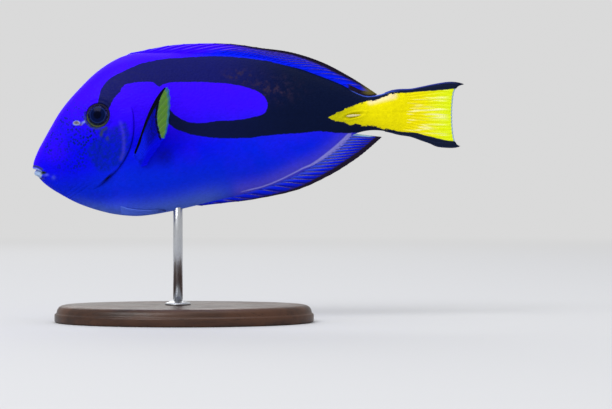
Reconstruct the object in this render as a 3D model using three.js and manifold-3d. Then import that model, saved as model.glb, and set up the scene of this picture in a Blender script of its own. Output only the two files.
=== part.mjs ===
// A regal blue tang, 200 mm long, as a life-size museum model on a plain display stand.
// The fish faces -X with its back up, its left side towards -Y and the floor at z = 0.
// The origin is on the floor under the middle of the fish's length. All sizes are in millimetres.
import * as THREE from "three";
import { mergeVertices } from "three/addons/utils/BufferGeometryUtils.js";
import Module from "manifold-3d";

const wasm = await Module();
wasm.setup();

// The gap between pieces that touch.
const gap = 0.3;

// Where the body starts and ends.
const snoutX = -100;
const tailCutX = 41;
const caudalRootX = 66;

// The body from snout to tail root: place, height of the back, height of the belly,
// half of the thickness, and the height where the body is thickest.
const sections = [
  [-100, 72.8, 72.8, 0, 72.4],
  [-99.3, 75.7, 70.3, 2.3, 72.6],
  [-96, 82.9, 65.3, 4.1, 74],
  [-92.5, 89.2, 62.4, 5.2, 76],
  [-87, 98.3, 59, 6.7, 79.5],
  [-79, 107.6, 54.9, 8.5, 84],
  [-69, 116.8, 51.5, 10, 88],
  [-60, 121.7, 49.7, 11.1, 90],
  [-50, 123.9, 49.2, 11.9, 90],
  [-35, 124.8, 51.6, 12.2, 90],
  [-15, 124.6, 56.4, 11.6, 92],
  [5, 122.4, 61.6, 10.1, 94.5],
  [20, 118.6, 67.2, 8.5, 96],
  [33, 114, 74.4, 6.8, 96.8],
  [43, 110, 82.4, 5.4, 97],
  [48, 107.2, 86.6, 4.7, 96.9],
  [54, 104.9, 88.6, 3.9, 96.8],
  [60, 105.4, 88.9, 3.2, 97.1],
  [66, 107.3, 88, 2.5, 97.6],
];
const backPower = 2;
const backRound = 0.62;
const bellyPower = 2.2;
const bellyRound = 0.6;

// The gill opening, which parts the head from the trunk.
const gillTopX = -59.4;
const gillBottomX = -81.2;
const gillBow = 17.1;
const gillSkew = -9;
const gillStep = 0.5;
const gillFade = 7;
const coverProud = 0.4;
const coverThick = 2.2;

// How densely the body is faceted.
const girthSteps = 16;
const headRibs = 20;
const trunkRibs = 22;
const stemRibs = 8;
const headPacking = 1.6;

// The tail swings a little to the right, from swingX back.
const swingX = 0;
const swing = 3;

// A smooth curve through the values of a table's column, by the place that each row is keyed to.
function through(keys, values) {
  const last = keys.length - 1;
  const slopes = keys.map((_, i) => {
    const before = Math.max(i - 1, 0);
    const after = Math.min(i + 1, last);
    return (values[after] - values[before]) / (keys[after] - keys[before]);
  });
  return (key) => {
    const k = Math.min(Math.max(key, keys[0]), keys[last]);
    const found = keys.findIndex((start, i) => i < last && k <= keys[i + 1]);
    const i = Math.max(found, 0);
    const span = keys[i + 1] - keys[i];
    const t = (k - keys[i]) / span;
    const fromStart = values[i] * (1 + 2 * t) + slopes[i] * span * t;
    const fromEnd = values[i + 1] * (3 - 2 * t) - slopes[i + 1] * span * (1 - t);
    return fromStart * (1 - t) ** 2 + fromEnd * t ** 2;
  };
}

// The root of the distance from the snout, in which the blunt snout is a smooth curve.
const fromSnout = (x) => Math.sqrt(Math.max(x - snoutX, 0));
const sectionKeys = sections.map((row) => fromSnout(row[0]));
const column = (n) => {
  const curve = through(sectionKeys, sections.map((row) => row[n]));
  return (x) => curve(fromSnout(x));
};
const back = column(1);
const belly = column(2);
const halfThickness = column(3);
const widest = column(4);

const lerp = THREE.MathUtils.lerp;
const smooth = (t) => THREE.MathUtils.smoothstep(t, 0, 1);

// A rib is a curve from belly to back, given by its two ends and how far it bows backwards.
function ribPoint(rib, t) {
  const share = (t + 1) / 2;
  const x = lerp(rib.bottom, rib.top, share) + (1 - t * t) * (rib.bow + rib.skew * t);
  return [x, lerp(belly(rib.bottom), back(rib.top), share)];
}
const gillRib = { top: gillTopX, bottom: gillBottomX, bow: gillBow, skew: gillSkew };
const tailCutRib = { top: tailCutX, bottom: tailCutX, bow: 0, skew: 0 };

function gillX(z) {
  const low = belly(gillRib.bottom);
  const t = ((z - low) / (back(gillRib.top) - low)) * 2 - 1;
  return ribPoint(gillRib, THREE.MathUtils.clamp(t, -1, 1))[0];
}

// The half thickness of the body at a place on its side, grown by some margin all round.
function thicknessAt(x, z, grow = 0) {
  const middle = widest(x);
  const above = z > middle;
  const reach = above ? back(x) + grow - middle : middle - belly(x) + grow;
  const t = Math.min(Math.abs(z - middle) / Math.max(reach, 1e-6), 1);
  const power = above ? backPower : bellyPower;
  const round = above ? backRound : bellyRound;
  return (halfThickness(x) + grow) * (1 - t ** power) ** round;
}

// Behind the gill opening the trunk lies lower than the gill cover's edge.
function trunkThicknessAt(x, z, grow = 0) {
  const behind = Math.max(x - gillX(z), 0);
  const step = gillStep * Math.exp(-behind / gillFade);
  const full = thicknessAt(x, z, grow);
  return full - Math.min(step, full / 3);
}

// The height above the widest line where the body is as thick as the given half thickness.
function ridgeHeight(x, side, half) {
  const power = side > 0 ? backPower : bellyPower;
  const round = side > 0 ? backRound : bellyRound;
  const share = Math.min(half / halfThickness(x), 1);
  const t = (1 - share ** (1 / round)) ** (1 / power);
  const edge = side > 0 ? back(x) : belly(x);
  return lerp(widest(x), edge, t);
}

// A point at some height over the skin of one side (-1 left, 1 right), and the skin's normal there.
function overSkin(x, z, side, height, surface = thicknessAt) {
  const d = 0.2;
  const slopeX = (surface(x + d, z) - surface(x - d, z)) / (2 * d);
  const slopeZ = (surface(x, z + d) - surface(x, z - d)) / (2 * d);
  const normal = new THREE.Vector3(-slopeX, side, -slopeZ).normalize();
  const point = new THREE.Vector3(x, side * surface(x, z), z);
  return { point: point.addScaledVector(normal, height), normal };
}

// Collects triangles and turns them into one closed geometry.
class Faces {
  constructor() {
    this.corners = [];
  }
  triangle(a, b, c) {
    for (const p of [a, b, c]) this.corners.push(p[0], p[1], p[2]);
  }
  quad(a, b, c, d) {
    this.triangle(a, b, c);
    this.triangle(a, c, d);
  }
  geometry() {
    const made = new THREE.BufferGeometry();
    made.setAttribute("position", new THREE.Float32BufferAttribute(this.corners, 3));
    return made;
  }
}

// three.js geometry to a manifold solid and back. A geometry drawn inside out is turned.
function solid(geometry) {
  const bare = geometry.clone();
  bare.deleteAttribute("normal");
  bare.deleteAttribute("uv");
  const merged = mergeVertices(bare, 1e-4);
  const index = merged.index.array;
  const kept = [];
  for (let i = 0; i < index.length; i += 3) {
    const [a, b, c] = index.slice(i, i + 3);
    if (a !== b && b !== c && a !== c) kept.push([a, b, c]);
  }
  const make = (triangles) =>
    new wasm.Manifold(
      new wasm.Mesh({
        numProp: 3,
        vertProperties: new Float32Array(merged.attributes.position.array),
        triVerts: new Uint32Array(triangles.flat()),
      }),
    );
  const made = make(kept);
  return made.volume() > 0 ? made : make(kept.map(([a, b, c]) => [a, c, b]));
}

function geometryOf(made) {
  const pieces = made.decompose();
  pieces.sort((a, b) => b.volume() - a.volume());
  const mesh = pieces[0].getMesh();
  const geometry = new THREE.BufferGeometry();
  geometry.setAttribute("position", new THREE.BufferAttribute(mesh.vertProperties, 3));
  geometry.setIndex(new THREE.BufferAttribute(mesh.triVerts, 1));
  return geometry;
}

// A length of body lofted over ribs, closed by a flat-sided wall at each end or by the snout's tip.
function loftBody(ribs, surface, grow = 0) {
  const rings = ribs.map((rib) => {
    const ring = [];
    for (let i = 0; i <= girthSteps; i++) {
      const t = -Math.cos((Math.PI * i) / girthSteps);
      const [x, z] = ribPoint(rib, t);
      const edge = i === 0 || i === girthSteps;
      ring.push([x, edge ? 0 : surface(x, z, grow), z + grow * t]);
    }
    return ring;
  });
  const left = (p) => [p[0], -p[1], p[2]];
  const faces = new Faces();
  for (let j = 0; j + 1 < rings.length; j++) {
    for (let i = 0; i < girthSteps; i++) {
      const [a, b, c, d] = [rings[j][i], rings[j + 1][i], rings[j + 1][i + 1], rings[j][i + 1]];
      faces.quad(a, b, c, d);
      faces.quad(left(a), left(d), left(c), left(b));
    }
  }
  const wall = (ring, forwards) => {
    for (let i = 0; i < girthSteps; i++) {
      const [a, b] = [ring[i], ring[i + 1]];
      if (forwards) faces.quad(a, b, left(b), left(a));
      else faces.quad(left(a), left(b), b, a);
    }
  };
  wall(rings[0], true);
  wall(rings[rings.length - 1], false);
  return faces.geometry();
}

const ribsBetween = (count, ribAt) => Array.from({ length: count + 1 }, (_, i) => ribAt(i / count));

const headRibList = ribsBetween(headRibs, (share) => {
  const m = share ** headPacking;
  return {
    top: lerp(snoutX, gillTopX, m),
    bottom: lerp(snoutX, gillBottomX, m),
    bow: gillBow * m,
    skew: gillSkew * m,
  };
});
const pastGill = { ...gillRib, top: gillTopX + 3, bottom: gillBottomX + 3 };
const headAndPast = [...headRibList, pastGill];
const trunkRibList = ribsBetween(trunkRibs, (share) => ({
  top: lerp(gillTopX + gap, tailCutX - gap, share),
  bottom: lerp(gillBottomX + 1.6 * gap, tailCutX - gap, share),
  bow: gillBow * (1 - share) ** 2,
  skew: gillSkew * (1 - share) ** 2,
}));
const stemRibList = ribsBetween(stemRibs, (share) => {
  const x = lerp(tailCutX, caudalRootX, share);
  return { top: x, bottom: x, bow: 0, skew: 0 };
});

// A prism through the whole thickness of the body over an outline drawn on its side.
function prism(outline, from = -30, to = 30) {
  const shape = new THREE.Shape(outline.map(([x, z]) => new THREE.Vector2(x, z)));
  const made = new THREE.ExtrudeGeometry(shape, { depth: to - from, bevelEnabled: false, steps: 1 });
  made.rotateX(Math.PI / 2);
  made.translate(0, to, 0);
  return solid(made);
}

function ellipsoid(radii, centre, facing, steps = 20) {
  const made = new THREE.SphereGeometry(1, steps, Math.round(steps * 0.6));
  made.scale(radii[0], radii[1], radii[2]);
  const turn = new THREE.Quaternion().setFromUnitVectors(new THREE.Vector3(0, 1, 0), facing);
  made.applyQuaternion(turn);
  made.translate(centre.x, centre.y, centre.z);
  return solid(made);
}

const sides = [
  { name: "left", side: -1 },
  { name: "right", side: 1 },
];

// The eye, a lens set in a round socket with a fleshy rim.
const eye = { x: -68.9, z: 95.3, radius: 6, depth: 2.4, proud: 0.95 };
const orbit = { radius: 5.35, tube: 0.62 };

function eyeFrame(side) {
  const { point, normal } = overSkin(eye.x, eye.z, side, eye.proud - eye.depth);
  return { centre: point, normal };
}

function ring(radius, tube, centre, facing, around = 24, across = 5) {
  const made = new THREE.TorusGeometry(radius, tube, across, around);
  const turn = new THREE.Quaternion().setFromUnitVectors(new THREE.Vector3(0, 0, 1), facing);
  made.applyQuaternion(turn);
  made.translate(centre.x, centre.y, centre.z);
  return solid(made);
}

// The two nostrils in front of each eye: a round one with a raised rim and a slit.
const nostril = { x: -79.7, z: 91.9, radius: 0.62, rim: 0.32 };
const nostrilSlit = { x: -76.6, z: 91.5, long: 0.8, high: 0.35 };

// The mouth: its line runs from the lips' front back to the corner and on down behind the jaw.
const mouthFront = [-101.5, 70.6];
const mouthCorner = [-93.6, 68.8];
const jawHinge = [-88.6, 65.6];
const jawHeel = [-86.2, 56];
const upperLip = { front: -99.7, z: 71.9, tube: 0.85 };
const lowerLip = { front: -98.5, z: 68.9, tube: 0.95 };
const lipCornerX = -94.1;
const mouthOpening = 0.55;

// A lip is a tube that runs round the front of the jaw from corner to corner.
function lip({ front, z, tube }) {
  const cornerZ = lerp(z, mouthCorner[1], 0.6);
  const reach = thicknessAt(lipCornerX, mouthCorner[1]) - tube * 0.45;
  const points = [];
  const turns = 12;
  for (let i = 0; i <= turns; i++) {
    const angle = lerp(-Math.PI / 2, Math.PI / 2, i / turns);
    const share = Math.cos(angle) ** 0.9;
    points.push(
      new THREE.Vector3(lerp(lipCornerX, front + tube, share), reach * Math.sin(angle), lerp(cornerZ, z, share)),
    );
  }
  const path = new THREE.CatmullRomCurve3(points);
  const section = new THREE.Shape();
  section.absarc(0, 0, tube, 0, Math.PI * 2);
  return solid(
    new THREE.ExtrudeGeometry(section, { steps: 12, curveSegments: 3, bevelEnabled: false, extrudePath: path }),
  );
}

// The gill cover's outline on the side of the head, from the gill opening forward.
const coverFrontTop = [-62.6, 92];
const coverFrontMiddle = [-68.2, 77.8];
const coverFrontBottom = [-69.8, 66.4];
const coverTopT = 0.28;
const coverBottomT = -0.66;
const coverEdgeSteps = 9;

function coverOutline(grow) {
  const edge = [];
  for (let i = 0; i <= coverEdgeSteps; i++) {
    const t = lerp(coverTopT, coverBottomT, i / coverEdgeSteps);
    edge.push(new THREE.Vector2(...ribPoint(gillRib, t)));
  }
  const front = new THREE.SplineCurve([
    edge[edge.length - 1],
    new THREE.Vector2(...coverFrontBottom),
    new THREE.Vector2(...coverFrontMiddle),
    new THREE.Vector2(...coverFrontTop),
    edge[0],
  ]).getPoints(16);
  const loop = [...edge, ...front.slice(1, -1)];
  return loop.map((p, i) => {
    const before = loop[(i + loop.length - 1) % loop.length];
    const after = loop[(i + 1) % loop.length];
    const along = new THREE.Vector2().subVectors(after, before).normalize();
    const leg = new THREE.Vector2().subVectors(after, p).normalize();
    const reach = grow / Math.max(along.dot(leg), 0.5);
    return [p.x - along.y * reach, p.y + along.x * reach];
  });
}

// The head, its gill covers and its lower jaw.
const headWhole = solid(loftBody(headRibList, thicknessAt));
const coverOuter = solid(loftBody(headRibList, thicknessAt, coverProud));
const coverBed = solid(loftBody(headAndPast, thicknessAt, -coverThick));
const coverBedDeep = solid(loftBody(headAndPast, thicknessAt, -coverThick - gap));
const coverPlates = coverOuter.intersect(prism(coverOutline(0))).subtract(coverBed);
const coverRecess = prism(coverOutline(gap)).subtract(coverBedDeep);

function jawOutline(grow) {
  return [
    [mouthFront[0], mouthFront[1] + grow],
    [mouthCorner[0] + grow, mouthCorner[1] + grow],
    [jawHinge[0] + grow, jawHinge[1] + grow],
    [jawHeel[0] + grow, jawHeel[1]],
    [mouthFront[0], jawHeel[1] - 1],
  ];
}

function mouthGap() {
  return prism([
    [mouthFront[0], mouthFront[1] + mouthOpening],
    [mouthCorner[0] + 0.2, mouthCorner[1] + 0.05],
    [mouthCorner[0], mouthCorner[1] - 0.25],
    [mouthFront[0], mouthFront[1] - mouthOpening],
  ]);
}

function makeHead() {
  let made = headWhole.add(lip(upperLip)).subtract(coverRecess);
  made = made.subtract(prism(jawOutline(gap))).subtract(mouthGap());
  for (const { side } of sides) {
    const { centre, normal } = eyeFrame(side);
    const rimPlace = overSkin(eye.x, eye.z, side, 0.05).point;
    made = made.add(ring(orbit.radius, orbit.tube, rimPlace, normal));
    const socket = [eye.radius + gap, eye.depth + gap, eye.radius + gap];
    made = made.subtract(ellipsoid(socket, centre, normal, 20));
    const front = overSkin(nostril.x, nostril.z, side, 0);
    made = made.add(ring(nostril.radius + nostril.rim / 2, nostril.rim, front.point, front.normal, 10, 5));
    const pit = [nostril.radius, 1.1, nostril.radius];
    made = made.subtract(ellipsoid(pit, front.point, front.normal, 8));
    const rear = overSkin(nostrilSlit.x, nostrilSlit.z, side, 0);
    const slit = [nostrilSlit.long, 0.8, nostrilSlit.high];
    made = made.subtract(ellipsoid(slit, rear.point, rear.normal, 8));
  }
  return made;
}

function makeJaw() {
  return headWhole.intersect(prism(jawOutline(0))).add(
    lip(lowerLip).intersect(prism(jawOutline(0))),
  ).subtract(mouthGap());
}

// The scalpel, a blade-like spine that lies folded in a groove on each side of the tail stem.
const scalpel = { x: 48.3, z: 95.5, long: 3.7, high: 0.8, deep: 0.75, proud: 0.3, tilt: 0.24 };

function scalpelSolid(side, grow) {
  const { point, normal } = overSkin(scalpel.x, scalpel.z, side, scalpel.proud - scalpel.deep);
  const made = new THREE.SphereGeometry(1, 10, 6);
  made.scale(scalpel.long + grow, scalpel.deep + grow, scalpel.high + grow);
  made.rotateY(-scalpel.tilt);
  made.applyQuaternion(new THREE.Quaternion().setFromUnitVectors(new THREE.Vector3(0, side, 0), normal));
  made.translate(point.x, point.y, point.z);
  return made;
}

// The stand: an oval base, a rod that ends in a socket in the belly, and a collar at its foot.
const base = { x: -30, halfLength: 60, halfWidth: 36, thick: 8, bevel: 1.2 };
const rod = { x: -33, radius: 2.2, socket: 5 };
const collar = { radius: 6, thick: 1.8 };
const rodTop = belly(rod.x) + rod.socket;

function makeTrunk() {
  const whole = solid(loftBody(trunkRibList, trunkThicknessAt));
  const hole = new THREE.CylinderGeometry(rod.radius + gap, rod.radius + gap, rod.socket * 2, 16);
  hole.rotateX(Math.PI / 2);
  hole.translate(rod.x, 0, rodTop + gap - rod.socket);
  return whole.subtract(solid(hole));
}

function makeStem() {
  let made = solid(loftBody(stemRibList, thicknessAt));
  for (const { side } of sides) made = made.subtract(solid(scalpelSolid(side, gap)));
  return made;
}

// Fins. Each is a membrane in a grid of columns and rows, thickened to both sides, with a ridge along
// every second column for a ray. A fin that stands on the body has a third line along its root.
function finGeometry({ rays, rows, centre, half, normal, rootLine }) {
  const columns = rays * 2;
  const at = (i, j) => ({ u: i / columns, v: j / rows, ridge: i % 2 === 0 });
  const grid = [];
  for (let i = 0; i <= columns; i++) {
    grid.push([]);
    for (let j = 0; j <= rows; j++) {
      const place = at(i, j);
      grid[i].push(centre(place.u, place.v));
    }
  }
  const across = (i, j) => {
    if (normal) return normal;
    const before = grid[Math.max(i - 1, 0)][j];
    const after = grid[Math.min(i + 1, columns)][j];
    const lower = grid[i][Math.max(j - 1, 0)];
    const upper = grid[i][Math.min(j + 1, rows)];
    const along = new THREE.Vector3().subVectors(after, before);
    return along.cross(new THREE.Vector3().subVectors(upper, lower)).normalize();
  };
  const front = [];
  const rear = [];
  for (let i = 0; i <= columns; i++) {
    front.push([]);
    rear.push([]);
    for (let j = 0; j <= rows; j++) {
      const { u, v, ridge } = at(i, j);
      const thick = half(u, v, ridge);
      const side = across(i, j);
      const place = (sign) => {
        const p = grid[i][j].clone().addScaledVector(side, sign * thick);
        if (rootLine && j === 0) p.z = rootLine(p.x, thick);
        return p.toArray();
      };
      front[i].push(place(-1));
      rear[i].push(place(1));
    }
  }
  const faces = new Faces();
  for (let i = 0; i < columns; i++) {
    for (let j = 0; j < rows; j++) {
      faces.quad(front[i][j], front[i + 1][j], front[i + 1][j + 1], front[i][j + 1]);
      faces.triangle(rear[i][j], rear[i + 1][j + 1], rear[i + 1][j]);
      faces.triangle(rear[i][j], rear[i][j + 1], rear[i + 1][j + 1]);
    }
    faces.quad(front[i][rows], front[i + 1][rows], rear[i + 1][rows], rear[i][rows]);
    if (rootLine) {
      const a = grid[i][0].toArray();
      const b = grid[i + 1][0].toArray();
      a[2] = rootLine(a[0], 0);
      b[2] = rootLine(b[0], 0);
      faces.quad(front[i + 1][0], front[i][0], a, b);
      faces.quad(b, a, rear[i][0], rear[i + 1][0]);
    } else {
      faces.quad(front[i + 1][0], front[i][0], rear[i][0], rear[i + 1][0]);
    }
  }
  for (let j = rootLine ? 1 : 0; j < rows; j++) {
    const [low, high] = [0, columns];
    faces.quad(front[low][j], front[low][j + 1], rear[low][j + 1], rear[low][j]);
    faces.quad(front[high][j + 1], front[high][j], rear[high][j], rear[high][j + 1]);
  }
  if (rootLine) {
    for (const [i, flip] of [[0, false], [columns, true]]) {
      const middle = grid[i][0].toArray();
      middle[2] = rootLine(middle[0], 0);
      const fan = [front[i][0], front[i][1], rear[i][1], rear[i][0]];
      if (flip) fan.reverse();
      for (let k = 0; k < 3; k++) faces.triangle(middle, fan[k], fan[k + 1]);
    }
  }
  return geometryOf(solid(faces.geometry()));
}

// A fin on the back or belly: where some of its rays are rooted and where their tips lie.
const finGap = 0.4;
const finRootHalf = 1.2;
const finTipHalf = 0.28;
const rayHeight = 0.24;
const dorsal = {
  side: 1,
  rays: 28,
  rows: 4,
  reach: [
    [-59, -51, 125.3],
    [-50, -36.7, 127.9],
    [-38, -22.8, 128.9],
    [-24, -8, 128.8],
    [-9, 6.5, 126.9],
    [6, 20.5, 124.9],
    [20, 35, 119.7],
    [34, 48.5, 112.5],
    [47.2, 59.3, 105.9],
  ],
};
const anal = {
  side: -1,
  rays: 22,
  rows: 4,
  reach: [
    [-28, -21.5, 54],
    [-18, -9.5, 55.4],
    [-7, 2, 56.8],
    [5, 15.5, 59],
    [16, 28.5, 63.5],
    [26, 40.5, 69.7],
    [35, 49.5, 75.6],
    [42, 56.5, 81.1],
    [46.6, 61.6, 85.7],
  ],
};

function edgeFin(fin) {
  const keys = fin.reach.map((_, i) => i / (fin.reach.length - 1));
  const [rootX, tipX, tipZ] = [0, 1, 2].map((n) => through(keys, fin.reach.map((row) => row[n])));
  const rootZ = (x) => (fin.side > 0 ? back(x) : belly(x)) + fin.side * finGap;
  const rootLine = (x, half) => (half ? ridgeHeight(x, fin.side, half) + fin.side * finGap : rootZ(x));
  const margin = 0.35;
  return finGeometry({
    rays: fin.rays,
    rows: fin.rows,
    rootLine,
    normal: new THREE.Vector3(0, 1, 0),
    centre: (u, v) => {
      const x = rootX(u);
      const notch = v === 1 && (u * fin.rays) % 1 > 0.25 ? margin : 0;
      const root = new THREE.Vector3(x, 0, rootZ(x));
      const tip = new THREE.Vector3(tipX(u), 0, tipZ(u));
      const reach = root.distanceTo(tip);
      return root.lerp(tip, (v * (reach - notch)) / reach);
    },
    half: (u, v, ridge) => {
      const taper = (1 - v) ** 1.8;
      const front = smooth(u * 12);
      return lerp(finTipHalf, finRootHalf * lerp(0.5, 1, front), taper) + (ridge ? rayHeight * (1 - 0.5 * v) : 0);
    },
  });
}

// The tail fin: a fan between its upper and lower edges, with a shallow notch and two short lobes.
const caudal = {
  rays: 17,
  rows: 5,
  rootHalf: 1.6,
  tipHalf: 0.3,
  notchX: 94.4,
  spread: 1.5,
  upperTip: 4.1,
  lowerTip: 2.3,
  tipPower: 12,
};
const upperEdge = through([66, 70, 75, 80, 86, 92, 96, 100], [107.3, 107.8, 108, 109, 110.3, 111.3, 111.3, 110.4]);
const lowerEdge = through([66, 70, 75, 80, 84, 87, 92, 95.5, 98.2], [88, 87, 86.2, 84.4, 83, 81.6, 81, 81, 81.6]);

function caudalFin() {
  const rear = (w) => {
    const tip = w > 0 ? caudal.upperTip : caudal.lowerTip;
    return caudal.notchX + caudal.spread * w * w + tip * Math.abs(w) ** caudal.tipPower;
  };
  return finGeometry({
    rays: caudal.rays,
    rows: caudal.rows,
    normal: new THREE.Vector3(0, 1, 0),
    centre: (u, v) => {
      const w = u * 2 - 1;
      const root = caudalRootX + gap;
      const top = upperEdge(lerp(root, rear(1), v));
      const bottom = lowerEdge(lerp(root, rear(-1), v));
      return new THREE.Vector3(lerp(root, rear(w), v), 0, lerp(bottom, top, u));
    },
    half: (u, v, ridge) => {
      const taper = (1 - v) ** 1.6;
      const edge = 1 - Math.abs(u * 2 - 1) ** 6 * 0.5 * (1 - v);
      return lerp(caudal.tipHalf, caudal.rootHalf * edge, taper) + (ridge ? rayHeight * (1 - 0.4 * v) : 0);
    },
  });
}

// The pectoral fin: a fan of rays from a short root behind the gill opening, held up, back and out.
const pectoral = {
  rays: 13,
  rows: 5,
  rootTop: [-52.6, 76.4],
  rootBottom: [-49.4, 71.8],
  sunk: 2.5,
  outward: 0.62,
  cup: 0.14,
  rootHalf: 0.75,
  tipHalf: 0.26,
  tips: [
    [-34.9, 107.5],
    [-34.2, 104.8],
    [-34.6, 99],
    [-35.6, 93.3],
    [-36.9, 87.4],
    [-38.7, 83.2],
    [-41.5, 79.5],
    [-44.2, 76],
    [-46.1, 72.6],
  ],
};

function pectoralFin(side) {
  const keys = pectoral.tips.map((_, i) => i / (pectoral.tips.length - 1));
  const [tipX, tipZ] = [0, 1].map((n) => through(keys, pectoral.tips.map((row) => row[n])));
  const centre = (u, v) => {
    const rootX = lerp(pectoral.rootTop[0], pectoral.rootBottom[0], u);
    const rootZ = lerp(pectoral.rootTop[1], pectoral.rootBottom[1], u);
    const reach = Math.hypot(tipX(u) - rootX, tipZ(u) - rootZ);
    const along = (v * (reach + pectoral.sunk) - pectoral.sunk) / reach;
    const y = trunkThicknessAt(rootX, rootZ) + reach * along * (pectoral.outward - pectoral.cup * along);
    return new THREE.Vector3(lerp(rootX, tipX(u), along), side * y, lerp(rootZ, tipZ(u), along));
  };
  const blade = finGeometry({
    rays: pectoral.rays,
    rows: pectoral.rows,
    centre,
    half: (u, v, ridge) =>
      lerp(pectoral.tipHalf, pectoral.rootHalf, (1 - v) ** 1.5) + (ridge ? rayHeight * (1 - 0.6 * v) : 0),
  });
  const clear = solid(loftBody(trunkRibList, trunkThicknessAt, gap));
  return geometryOf(solid(blade).subtract(clear).subtract(coverOuter));
}

// The pelvic fins lie folded back along the belly, one on each side of its keel.
const pelvic = {
  rays: 5,
  rows: 7,
  rootX: -61,
  tipX: -38.4,
  keel: 1.1,
  rootHigh: 4.6,
  tipHigh: 1.9,
  rootThick: 1.2,
  tipThick: 0.6,
};

function pelvicFin(side) {
  const place = (u, v, height) => {
    const x = lerp(pelvic.rootX, pelvic.tipX - 2.4 * u * u, v);
    const z = belly(x) + lerp(pelvic.keel, lerp(pelvic.rootHigh, pelvic.tipHigh, v), u);
    return overSkin(x, z, side, height, trunkThicknessAt).point;
  };
  return finGeometry({
    rays: pelvic.rays,
    rows: pelvic.rows,
    centre: (u, v) => place(u, v, gap + 0.2 + lerp(pelvic.rootThick, pelvic.tipThick, v) / 2),
    half: (u, v, ridge) =>
      (lerp(pelvic.rootThick, pelvic.tipThick, v) / 2) * (ridge ? 1 : 0.72) * (0.75 + 0.25 * smooth(v * 6)),
  });
}

// The stand's pieces, each in its own frame.
function baseGeometry() {
  const outline = new THREE.Shape();
  const inset = base.bevel;
  outline.absellipse(0, 0, base.halfLength - inset, base.halfWidth - inset, 0, Math.PI * 2);
  return new THREE.ExtrudeGeometry(outline, {
    depth: base.thick - 2 * inset,
    bevelThickness: inset,
    bevelSize: inset,
    bevelSegments: 1,
    curveSegments: 20,
  });
}

function collarGeometry() {
  const inner = rod.radius + gap;
  const profile = [
    [inner, 0],
    [collar.radius, 0],
    [collar.radius, collar.thick * 0.5],
    [collar.radius * 0.72, collar.thick],
    [inner, collar.thick],
    [inner, 0],
  ].map(([r, h]) => new THREE.Vector2(r, h));
  const made = new THREE.LatheGeometry(profile, 32);
  made.rotateX(Math.PI / 2);
  return made;
}

// Colours and finishes.
const finish = (color, roughness, metalness = 0) => new THREE.MeshStandardMaterial({ color, roughness, metalness });
const blueSkin = finish(0x2a10f0, 0.5);
const finBlue = finish(0x2424d8, 0.5);
const tailYellow = finish(0xf2e808, 0.5);
const finYellow = finish(0x8aa83a, 0.5);
const bladeWhite = finish(0xe9e6c8, 0.35);
const eyeDark = finish(0x0b1530, 0.08);
const wood = finish(0x3b2a20, 0.4);
const steel = finish(0xb9bcc0, 0.3, 1);

// Swings the rear of the body to the side.
function swung(geometry) {
  const p = geometry.attributes.position;
  for (let i = 0; i < p.count; i++) p.setY(i, p.getY(i) + swingAt(p.getX(i)));
  geometry.computeVertexNormals();
  return geometry;
}
function swingAt(x) {
  const share = Math.max((x - swingX) / (100 - swingX), 0);
  return swing * share * share;
}

const group = new THREE.Group();
const fish = new THREE.Group();
const stand = new THREE.Group();
group.add(fish, stand);

function addNode(parent, name, geometry, material) {
  const mesh = new THREE.Mesh(geometry, material);
  mesh.name = name;
  parent.add(mesh);
  return mesh;
}

addNode(fish, "head", geometryOf(makeHead()), blueSkin);
addNode(fish, "lower_jaw", geometryOf(makeJaw()), blueSkin);
const plates = coverPlates.decompose();
const plateOf = (side) => plates.filter((p) => p.boundingBox().min[1] * side + p.boundingBox().max[1] * side > 0);
for (const { name, side } of sides) {
  const [plate] = plateOf(side).sort((a, b) => b.volume() - a.volume());
  addNode(fish, `gill_cover_${name}`, geometryOf(plate), blueSkin);
}
addNode(fish, "trunk", swung(geometryOf(makeTrunk())), blueSkin);
addNode(fish, "tail_stem", swung(geometryOf(makeStem())), tailYellow);
addNode(fish, "dorsal_fin", swung(edgeFin(dorsal)), finBlue);
addNode(fish, "anal_fin", swung(edgeFin(anal)), finBlue);
addNode(fish, "tail_fin", swung(caudalFin()), tailYellow);
for (const { name, side } of sides) {
  addNode(fish, `pectoral_fin_${name}`, pectoralFin(side), finYellow);
  addNode(fish, `pelvic_fin_${name}`, pelvicFin(side), finBlue);
  addNode(fish, `scalpel_${name}`, swung(scalpelSolid(side, 0)), bladeWhite);
  const ball = new THREE.SphereGeometry(1, 20, 12);
  const mesh = addNode(fish, `eye_${name}`, ball, eyeDark);
  const { centre, normal } = eyeFrame(side);
  mesh.scale.set(eye.radius, eye.depth, eye.radius);
  mesh.position.copy(centre);
  mesh.quaternion.setFromUnitVectors(new THREE.Vector3(0, 1, 0), normal);
}

const baseMesh = addNode(stand, "stand_base", baseGeometry(), wood);
baseMesh.position.set(base.x, 0, base.bevel);
const rodLength = rodTop - base.thick - gap;
const rodMesh = addNode(stand, "stand_rod", new THREE.CylinderGeometry(rod.radius, rod.radius, rodLength, 24), steel);
rodMesh.position.set(rod.x, 0, base.thick + gap + rodLength / 2);
rodMesh.rotation.x = Math.PI / 2;
const collarMesh = addNode(stand, "stand_collar", collarGeometry(), steel);
collarMesh.position.set(rod.x, 0, base.thick + gap);

export default group;
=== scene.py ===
"""Dresses the regal blue tang: skin with its markings, eyes, rayed fins, tail spines, stand and studio."""

import math

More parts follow.
